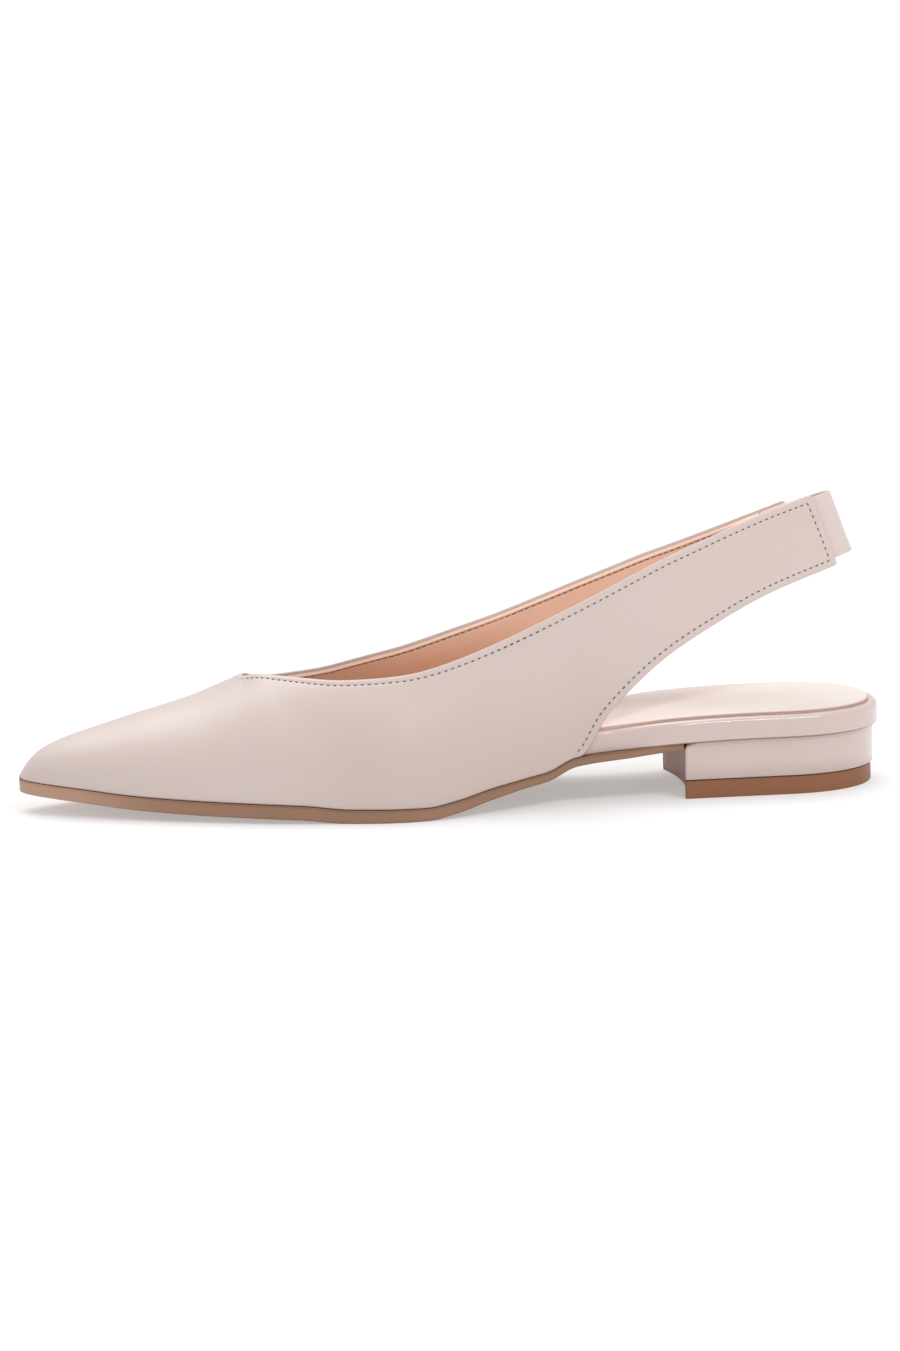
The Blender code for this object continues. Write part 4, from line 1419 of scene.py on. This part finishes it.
    def stitches(self, name: str, depth: Callable[[Array], Array], dash: "Dash") -> Piece:
        """One piece of all the stitches of one face of the upper.

        Args:
            name: The piece's name.
            depth: Depth of the thread's middle under the outer surface, from the distance to the strap's end.
            dash: Sizes of one stitch.

        Returns:
            The piece.
        """
        rows = []
        for side, seam in self.seams.items():
            surface = self.nets[side].surface
            run = run_along(seam.points)
            places = np.arange(dash.pitch * 0.5, run[-1] - dash.pitch * 0.4, dash.pitch)
            at, v = np.interp(places, run, seam.at), np.interp(places, run, seam.v)
            step = 0.02
            along = surface.points(at + step, v) - surface.points(at - step, v)
            rise = surface.points(at, v + step) - surface.points(at, v - step)
            normal = unit(np.cross(along, rise) * -surface.side.value)
            front = at < self.level_before
            normal[front] = unit(mix(normal[front], self.crest_normal(), self.level_share))
            ahead, behind = (read_line(places + dash.pitch * by, run, seam.points) for by in (0.3, -0.3))
            from_end = (surface.last - at) * self.nets[side].pitch
            middle = self.easing.apply(surface.points(at, v)) - normal * depth(from_end)[:, None]
            rows.append((middle, unit(ahead - behind), normal))
        middle, tangent, normal = (np.concatenate(part) for part in zip(*rows))
        return dash.scatter(name, middle, tangent, normal)

    def crest_normal(self) -> Array:
        """Unit normal of the crest just in front of the throat."""
        net = self.nets[Side.LATERAL]
        return net.normal[int(np.argmin(np.abs(net.stations))) - 3, -1]

    def build(self) -> None:
        """Builds the leather, the lining and both faces of the stitching."""
        sewn_in = self.nets[Side.LATERAL].sewn_in

        def outside(from_end: Array) -> Array:
            """Depth of the edge stitches in the leather."""
            return np.full_like(from_end, self.edge_sink)

        def inside(from_end: Array) -> Array:
            """Depth of the seam in the lining's groove."""
            middle = self.lining_middle(np.full_like(from_end, sewn_in), from_end)
            return middle + self.form.lining_ply / 2.0 - self.seam_sink

        outer = Dash(pitch=2.12 * MM, length=1.15 * MM, width=0.18 * MM, rise=0.14 * MM)
        inner = Dash(pitch=2.12 * MM, length=1.80 * MM, width=0.16 * MM, rise=0.14 * MM)
        self.leather().build(UPPER_LEATHER, "upper_leather", ("upper",))
        self.lining().build(LINING_LEATHER, "upper_leather")
        self.stitches("edge_stitches", outside, outer).build(EDGE_THREAD, "upper_leather")
        self.stitches("seam_stitches", inside, inner).build(SEAM_THREAD, "upper_leather")


@dataclass(frozen=True)
class Dash:
    """One stitch: a rod with round ends that dive into the leather."""

    pitch: float
    length: float
    width: float
    rise: float
    dive: float = 0.7
    around: int = 7
    steps: int = 7

    def scatter(self, name: str, middle: Array, tangent: Array, normal: Array) -> Piece:
        """A stitch at each place.

        With s from -1 to 1 along it and the angle a round it, a point lies at s * length / 2 along the tangent,
        width * cos a * sqrt(1 - s^6) across it, and rise * (sin a * sqrt(1 - s^6) - s^2 * dive) up the normal.

        Args:
            name: The piece's name.
            middle: Middles of the stitches.
            tangent: Their directions.
            normal: Directions out of the leather.

        Returns:
            The piece.
        """
        s = np.linspace(-1.0, 1.0, self.steps)[:, None]
        angle = np.linspace(0.0, 2.0 * math.pi, self.around + 1)
        bulge = np.sqrt(np.maximum(1.0 - s**6, 0.0))
        along = s * self.length / 2.0 + 0.0 * angle
        across = self.width * np.cos(angle) * bulge
        up = self.rise * (np.sin(angle) * bulge - self.dive * s**2)
        side = np.cross(tangent, normal)
        points = (
            middle[:, None, None]
            + tangent[:, None, None] * along[..., None]
            + side[:, None, None] * across[..., None]
            + normal[:, None, None] * up[..., None]
        )
        size = s.shape[0] * len(angle)
        numbers = grid_quads(np.arange(size).reshape(s.shape[0], len(angle)))
        quads = (numbers[None] + (np.arange(len(middle)) * size)[:, None, None]).reshape(-1, 4)
        # Ends deeper: painted shade where the thread dives into the leather.
        tone = np.broadcast_to(0.5 * s**2 + 0.0 * angle, (len(middle), s.shape[0], len(angle)))
        return Piece(name, points.reshape(-1, 3), quads, tone.ravel())


class Step(NamedTuple):
    """One ring of a slab's wall: its margin and height along the shoe, its tone, and its set-back in front."""

    margin: Height
    height: Height
    tone: float = 0.0
    back_by: float = 0.0


@dataclass(frozen=True)
class Slab:
    """A layer of the sole, laid over its plan, cut off by curves in front or behind where given."""

    form: ShoeForm
    front: Height | None = None
    back: Height | None = None
    corner: float = 0.0
    stations: int = 170
    columns: int = 28

    def grid(self, step: Step) -> Array:
        """Grid over the plan at a ring's margin and height.

        Lines across run from edge to edge, p runs along from 0 to 1 by (1 - cos) / 2, and the corners at the
        front curve are carried on to an arc.

        Args:
            step: The ring that bounds the grid.

        Returns:
            The grid's points.
        """
        edges = [self.form.inset_edge(side, step.margin) for side in Side]
        across = -np.cos(np.linspace(0.0, math.pi, self.columns + 1))
        p = (0.5 - 0.5 * np.cos(np.linspace(0.0, math.pi, self.stations + 1)))[:, None]
        first = edges[0][0][0] if self.front is None else self.front(across) + step.back_by
        last = edges[0][0][-1] if self.back is None else self.back(across)
        x = mix(first, last, p) + 0.0 * across
        low, high = np.interp(x, *edges[0]), np.interp(x, *edges[1])
        y = mix(low, high, (across + 1.0) / 2.0)
        if self.corner and self.front is not None:
            for edge, sign in ((low, 1.0), (high, -1.0)):
                a, b = round_corner(x - first, (y - edge) * sign, self.corner)
                x, y = first + a, edge + sign * b
        return np.stack([x, y, step.height(x / self.form.length)], axis=-1)

    def ring(self, step: Step) -> Array:
        """The grid's rim as a closed loop of points."""
        grid = self.grid(step)
        return np.concatenate([grid[:, 0], grid[-1, 1:], grid[-2::-1, -1], grid[0, -2::-1]])

    def body(self, name: str, steps: Sequence[Step], shade: Height | None = None) -> Piece:
        """Closed body: a floor at the first step, a wall through all of them and a lid at the last.

        Args:
            name: The piece's name.
            steps: Its rings, from the underside up.
            shade: Tone added along the shoe, as painted shade.

        Returns:
            The piece.
        """
        rings = np.stack([self.ring(step) for step in steps])
        ends = (steps[0], steps[-1])
        grids = [self.grid(step) for step in ends] + [rings]
        tones = [np.full(grid.shape[:2], step.tone) for grid, step in zip(grids, ends)]
        tones.append(np.broadcast_to(column(steps, "tone")[:, None], rings.shape[:2]))
        if shade is not None:
            tones = [tone + shade(grid[..., 0] / self.form.length) for grid, tone in zip(grids, tones)]
        return join_grids(name, grids, tones, (True, False, False))


def wall(
    low: Height,
    high: Height,
    margin: Height,
    foot: float,
    top: Height,
    tones: Tones,
    turns: int = 6,
    front: float = 0.9,
) -> list[Step]:
    """Steps of an upright wall with quarter circles at its foot and its top.

    Args:
        low: Height of the underside.
        high: Height of the top.
        margin: Margin of the wall.
        foot: Radius at the foot.
        top: Radius at the top, along the shoe.
        tones: Tone at the foot, on the wall and at the top.
        turns: Steps in each quarter circle.
        front: Share of the length at which a cut front reads the radius at the top.

    Returns:
        The steps from the underside up. At the angle a, a circle of radius r adds r (1 - cos a) to the margin
        and leaves r (1 - sin a) to its end.
    """
    angles = np.linspace(0.0, math.pi / 2.0, turns + 1)
    steps = []
    for a in angles[::-1]:
        inset, rise = foot * (1.0 - math.cos(a)), foot * (1.0 - math.sin(a))
        steps.append(Step(lambda s, i=inset: margin(s) + i, lambda s, r=rise: low(s) + r, tones[0], inset))
    steps.append(Step(margin, lambda s: low(s) + foot + FOOT_BLEND, tones[1]))
    steps.append(Step(margin, lambda s: mix(low(s) + foot, high(s) - top(s), 0.5), tones[1]))
    for a in angles:
        steps.append(Step(
            lambda s, c=1.0 - math.cos(a): margin(s) + top(s) * c,
            lambda s, c=1.0 - math.sin(a): high(s) - top(s) * c,
            float(mix(tones[1], tones[2], math.sin(a))),
            float(top(front) * (1.0 - math.cos(a))),
        ))
    return steps


def even(value: float) -> Height:
    """The same value all along the shoe."""
    return lambda along: np.full_like(np.asarray(along, dtype=float), value)


@dataclass
class Sole:
    """Outsole, top piece, heel, insole platform and sock, from the floor up."""

    form: ShoeForm
    outsole_shade: float = 0.58
    cover_round: float = 1.8 * MM
    cover_edge: float = 0.55 * MM
    cover_run: float = 4.5 * MM
    rand_round: float = 1.7 * MM
    bead_radius: float = 0.20 * MM
    bead_inset: float = -0.08 * MM
    bead_height: float = 0.60 * MM
    panel_share: float = 0.93
    panel_proud: float = 0.16 * MM

    def outsole(self) -> Piece:
        """The unit sole, with a soft lower edge and a brown line of painted shadow just under its top, where the
        upper stands on it.

        Returns:
            The piece.
        """
        form = self.form
        slab = Slab(form, back=lambda across: form.breast_line(across) - form.clearance)

        def high(along: Array) -> Array:
            """Top, up to the upper."""
            return form.feather(along) + form.clearance

        def shade(along: Array) -> Array:
            """Painted shade along the shoe's edge: deeper everywhere but at the toe tip."""
            return self.outsole_shade * smooth_step(0.02, 0.20, along)

        turns = 5
        # The deeper top edge and the line just under it are painted shadow under the upper.
        steps = wall(form.ground, high, even(0.0), 0.5 * MM, even(0.15 * MM), (0.05, 0.0, 0.45), turns)
        line = [
            Step(even(0.0), lambda s, d=drop: high(s) - d, tone)
            for drop, tone in ((0.60 * MM, 0.05), (0.35 * MM, 0.35))
        ]
        below_shadow_line = turns + 3
        return slab.body("outsole_unit", steps[:below_shadow_line] + line + steps[below_shadow_line:], shade)

    def top_piece(self) -> Piece:
        """Rubber top piece under the heel.

        Returns:
            The piece.
        """
        form = self.form
        slab = Slab(form, front=form.breast_line, corner=0.9 * MM, stations=120)
        high, margin = even(form.top_piece_thick), even(form.heel_taper)
        steps = wall(even(0.0), high, margin, 0.35 * MM, even(0.12 * MM), (0.0, 0.0, 0.5), 4)
        return slab.body("heel_top_piece", steps)

    def heel(self) -> Piece:
        """Covered heel: its wall leans out from the top piece to the seat, and its corners are soft.

        Returns:
            The piece.
        """
        form = self.form
        slab = Slab(form, front=form.breast_line, corner=1.3 * MM, stations=120)
        foot = form.top_piece_thick + 0.12 * MM
        front = 1.0 - form.heel_length / form.length

        def top(along: Array) -> Array:
            """Radius of the top edge, larger at the breast."""
            sharper = smooth_step(front, front + self.cover_run / form.length, along)
            return mix(self.cover_round, self.cover_edge, sharper)

        # Top edge deeper as painted shade under the proud rand; the foot is deeper too, at the seam with the top
        # piece.
        steps = wall(even(foot), form.feather, even(0.0), 0.30 * MM, top, (0.5, 0.0, 0.5), 7, front)
        levels = np.linspace(0.0, 1.0, len(steps) + 1)[1:]
        leaning = []
        for step, level in zip(steps, levels):
            lean = form.heel_taper * (1.0 - smooth_step(0.0, 1.0, level))
            leaning.append(step._replace(margin=lambda s, m=step.margin, x=float(lean): m(s) + x))
        return slab.body("heel_cover", leaning)

    def platform(self) -> Piece:
        """Insole platform: board inside the upper, glazed rand with a round top behind it.

        Returns:
            The piece.
        """
        form = self.form

        def low(along: Array) -> Array:
            """Underside."""
            return form.feather(along) + form.clearance * 0.4

        def high(along: Array) -> Array:
            """Top under the sock."""
            return form.feather(along) + form.clearance + form.insole_thick(along)

        def top(along: Array) -> Array:
            """Radius of the top edge."""
            return np.minimum(self.rand_round, 0.4 * form.insole_thick(along))

        # Foot deeper as painted shade, in the line where the rand stands proud of the heel.
        steps = wall(low, high, form.insole_margin, 0.35 * MM, top, (0.85, 0.0, 0.0), 8)
        return Slab(form).body("insole_rand", steps)

    def sock_low(self, along: Array) -> Array:
        """Underside of the sock."""
        return self.form.feather(along) + self.form.insole_thick(along) + 1.1 * self.form.clearance

    def sock(self) -> Piece:
        """Sock on the platform.

        Returns:
            The piece.
        """
        form = self.form

        def high(along: Array) -> Array:
            """Top of the sock."""
            return self.sock_low(along) + form.sock_thick + 0.8 * form.clearance

        steps = wall(self.sock_low, high, form.sock_edge, 0.1 * MM, even(0.45 * MM), (0.6, 0.1, 0.0), 5)
        return Slab(form).body("sock_lining", steps)

    def sock_bead(self) -> Piece:
        """Painted edge round the sock: a thin bead that stands just proud of it, a circle carried on its rim.

        Returns:
            The piece.
        """
        form, up = self.form, np.array((0.0, 0.0, 1.0))
        step = Step(
            lambda s: form.sock_edge(s) + self.bead_inset,
            lambda s: self.sock_low(s) + self.bead_height,
        )
        line = Slab(form, stations=260, columns=4).ring(step)
        apart = np.linalg.norm(np.diff(line, axis=0), axis=1) > 1e-6
        line = line[np.concatenate([[True], apart])][:-1]
        ahead = unit(np.roll(line, -1, axis=0) - np.roll(line, 1, axis=0))
        out = unit(np.cross(ahead, up))
        angle = np.linspace(0.0, 2.0 * math.pi, 9)[:, None]
        tube = line[:, None] + self.bead_radius * (out[:, None] * np.cos(angle) + up * np.sin(angle))
        tube = np.concatenate([tube, tube[:1]])
        return join_grids("sock_edge_bead", [tube], [np.zeros(tube.shape[:2])], [False])

    def breast_cover(self) -> Piece:
        """Thin panel over the concave breast, inside the heel's corners, whose dark taupe is painted shade in the
        hollow breast.

        Returns:
            The piece.
        """
        form = self.form
        across = np.linspace(-self.panel_share, self.panel_share, 41)
        rise = np.linspace(0.0, 1.0, 13)[:, None]
        edges = [form.inset_edge(side, form.heel_taper) for side in Side]
        x = form.breast_line(across) + 0.0 * rise
        y = mix(np.interp(x, *edges[0]), np.interp(x, *edges[1]), (across + 1.0) / 2.0)
        top = form.feather(x / form.length) - 0.6 * MM
        grid = np.stack([x, y, mix(0.25 * MM, top, rise)], axis=-1)
        rim = np.minimum(1.0 - np.abs(2.0 * rise - 1.0), 1.0 - np.abs(across) / self.panel_share)
        proud = self.panel_proud * np.sqrt(np.clip(rim / 0.06, 0.0, 1.0))
        outer, inner = grid.copy(), grid.copy()
        outer[..., 0] -= proud
        inner[..., 0] += proud
        # Deeper towards the floor: painted shade.
        tone = 0.5 * (1.0 - rise) + 0.0 * across
        return join_grids("heel_breast_cover", [outer, inner], [tone, tone], [False, True])

    def build(self) -> None:
        """Builds the layers."""
        self.outsole().build(OUTSOLE_RESIN, "outsole_resin", ("outsole",))
        self.top_piece().build(TOP_PIECE_RUBBER, "top_piece_rubber", ("top_piece",))
        self.heel().build(RAND_LEATHER, "heel_leather", ("heel",))
        self.breast_cover().build(BREAST_SHADE, "top_piece_rubber")
        self.platform().build(RAND_LEATHER, "rand_leather", ("insole",))
        self.sock().build(SOCK_LEATHER, "sock_leather", ("sock",))
        self.sock_bead().build(EDGE_PAINT, "sock_leather")


@dataclass
class BackElastic:
    """Ribbed elastic sewn into both strap ends and carried round the back in one bend."""

    form: ShoeForm
    held_steps: int = 12
    loop_steps: int = 90
    rows: int = 132
    rib_pitch: float = 0.95 * MM
    rib_depth: float = 0.025 * MM
    rib_tone: float = 0.10

    def held(self, side: Side) -> tuple[Array, Array]:
        """Middle of the elastic inside a pocket, and the direction in which it leaves it.

        Args:
            side: Which side.

        Returns:
            Points from the pocket's depth to its mouth, and a direction per row.
        """
        surface, form = SideSurface(self.form, side), self.form
        ends = surface.points(surface.last, np.array([0.0, 1.0]))
        half = form.elastic_width / 2.0 / np.linalg.norm(ends[1] - ends[0])
        at = np.linspace(surface.last - form.elastic_hold / surface.pitch(), surface.last, self.held_steps)
        v = form.elastic_centre + half * np.linspace(-1.0, 1.0, self.rows + 1)
        skin = surface.points(at[:, None], v)
        normal = unit(np.cross(np.gradient(skin, axis=0), np.gradient(skin, axis=1)) * -side.value)
        middle = skin - normal * (form.outer_ply + form.clearance + form.elastic_thick / 2.0)
        return middle, unit(middle[-1] - middle[-2])

    def band(self) -> Piece:
        """The whole band: Hermite bend between the pockets, thickness rounded at the edges and ribbed along.

        Returns:
            The band, as one closed piece.
        """
        lateral, run_out = self.held(Side.LATERAL)
        medial, run_in = self.held(Side.MEDIAL)
        pull = 8.0 * self.form.loop_depth / np.linalg.norm((run_out + run_in).mean(axis=0))
        t = np.linspace(0.0, 1.0, self.loop_steps + 1)[1:-1, None, None]
        bend = lateral[-1] * (1.0 + 2.0 * t) * (1.0 - t) ** 2 + medial[-1] * t * t * (3.0 - 2.0 * t)
        bend = bend + run_out * pull * t * (1.0 - t) ** 2 + run_in * pull * t * t * (1.0 - t)
        middle = np.concatenate([lateral, bend, medial[::-1]])
        normal = unit(np.cross(np.gradient(middle, axis=0), np.gradient(middle, axis=1)))
        across = np.linspace(0.0, self.form.elastic_width, self.rows + 1)
        half = self.form.elastic_thick / 2.0
        edge = np.clip(np.minimum(across, across[::-1]) / half, 0.0, 1.0)
        ends = np.ones(len(middle))
        ends[[0, -1]] = 0.0
        wave = np.cos(2.0 * math.pi * across / self.rib_pitch)
        thick = half * np.sqrt(1.0 - (1.0 - edge) ** 2) + self.rib_depth * (wave - 1.0) * edge
        thick = thick * ends[:, None]
        # Troughs between the ribs deeper: painted shade.
        tone = self.rib_tone * (1.0 - wave) * edge + 0.0 * ends[:, None]
        skins = [middle + normal * thick[..., None], middle - normal * thick[..., None]]
        return join_grids("back_elastic", skins, [tone, tone], [False, True])

    def build(self) -> None:
        """Builds the band."""
        self.band().build(ELASTIC_WEB, "elastic", ("back_strap",))


@dataclass
class Studio:
    """Pale floor, soft lights and the camera at the photograph's angle."""

    aim: Place = (0.131, 0.0, 0.040)
    yaw: float = math.radians(5.03)
    rise: float = math.radians(9.67)
    roll: float = math.radians(-1.68)
    distance: float = 1.300
    lens: float = 113.8
    shift: tuple[float, float] = (3.5 / 1351.0, -10.8 / 1351.0)
    floor_reach: float = 60.0
    floor_tone: Colour = (0.57, 0.57, 0.57)
    floor_glow: float = 0.36
    surround: float = 0.76
    sun: float = 1.45
    sun_from: Place = (-0.10, 0.50, 1.00)
    sun_width: float = math.radians(48.0)
    strip_at: Place = (0.45, -0.75, 0.90)
    strip_size: tuple[float, float] = (0.60, 0.12)
    strip_power: float = 4.5
    lamps_aim: Place = (0.0, 0.0, 0.03)

    def floor(self) -> None:
        """A wide pale floor, lit a little from below like a light table."""
        mesh = bpy.data.meshes.new("floor")
        reach = self.floor_reach
        corners = [(-reach, -reach, 0), (reach, -reach, 0), (reach, reach, 0), (-reach, reach, 0)]
        mesh.from_pydata(corners, [], [(0, 1, 2, 3)])
        paint = Paint("pale_floor")
        paint.set(Base_Color=self.floor_tone, Roughness=1.0, Specular_IOR_Level=0.0)
        paint.set(Emission_Color=(1.0, 1.0, 1.0), Emission_Strength=self.floor_glow)
        mesh.materials.append(paint.material)
        floor = bpy.data.objects.new("floor", mesh)
        bpy.context.scene.collection.objects.link(floor)

    def lamp(self, name: str, kind: str, place: Place, settings: dict[str, object]) -> None:
        """A lamp at a place, turned to the shoe.

        Args:
            name: The lamp's name.
            kind: SUN or AREA.
            place: Where it stands.
            settings: Its properties.
        """
        lamp = bpy.data.lights.new(name, kind)
        for key, value in settings.items():
            setattr(lamp, key, value)
        holder = bpy.data.objects.new(name, lamp)
        holder.location = place
        ray = Vector(self.lamps_aim) - Vector(place)
        holder.rotation_euler = ray.to_track_quat("-Z", "Y").to_euler()
        bpy.context.scene.collection.objects.link(holder)

    def lights(self) -> None:
        """An even pale surround, a broad soft sun from behind and above, and a narrow soft box in front."""
        world = bpy.data.worlds.new("pale_surround")
        world.use_nodes = True
        background = world.node_tree.nodes["Background"]
        background.inputs["Color"].default_value = (1.0, 1.0, 1.0, 1.0)
        background.inputs["Strength"].default_value = self.surround
        bpy.context.scene.world = world
        self.lamp("soft_sun", "SUN", self.sun_from, {"energy": self.sun, "angle": self.sun_width})
        width, height = self.strip_size
        strip = {"shape": "RECTANGLE", "size": width, "size_y": height, "energy": self.strip_power}
        self.lamp("front_strip", "AREA", self.strip_at, strip)

    def camera(self) -> None:
        """The camera, by its angle, its distance and its roll about the view."""
        level = math.cos(self.rise)
        back = Vector((-math.sin(self.yaw) * level, -math.cos(self.yaw) * level, math.sin(self.rise)))
        right = Vector((math.cos(self.yaw), -math.sin(self.yaw), 0.0))
        up = back.cross(right)
        turned = right * math.cos(self.roll) + up * math.sin(self.roll)
        raised = up * math.cos(self.roll) - right * math.sin(self.roll)
        data = bpy.data.cameras.new("camera")
        data.sensor_fit, data.sensor_height, data.lens = "VERTICAL", 36.0, self.lens
        data.shift_x, data.shift_y = self.shift
        camera = bpy.data.objects.new("camera", data)
        place = Vector(self.aim) + back * self.distance + Vector(PLACE)
        camera.matrix_world = Matrix.Translation(place) @ Matrix((turned, raised, back)).transposed().to_4x4()
        bpy.context.scene.collection.objects.link(camera)
        bpy.context.scene.camera = camera

    def build(self) -> None:
        """Sets up floor, lights, camera and an even view of the tones."""
        self.floor()
        self.lights()
        self.camera()
        bpy.context.scene.view_settings.view_transform = "Standard"


def main() -> None:
    """Builds the shoe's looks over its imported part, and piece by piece."""
    logging.basicConfig(level=logging.INFO, format="%(name)s %(message)s")
    for old in list(bpy.data.objects):
        bpy.data.objects.remove(old, do_unlink=True)
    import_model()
    form = ShoeForm()
    Sole(form).build()
    Upper(form).build()
    BackElastic(form).build()
    Studio().build()


if __name__ == "__main__":
    main()
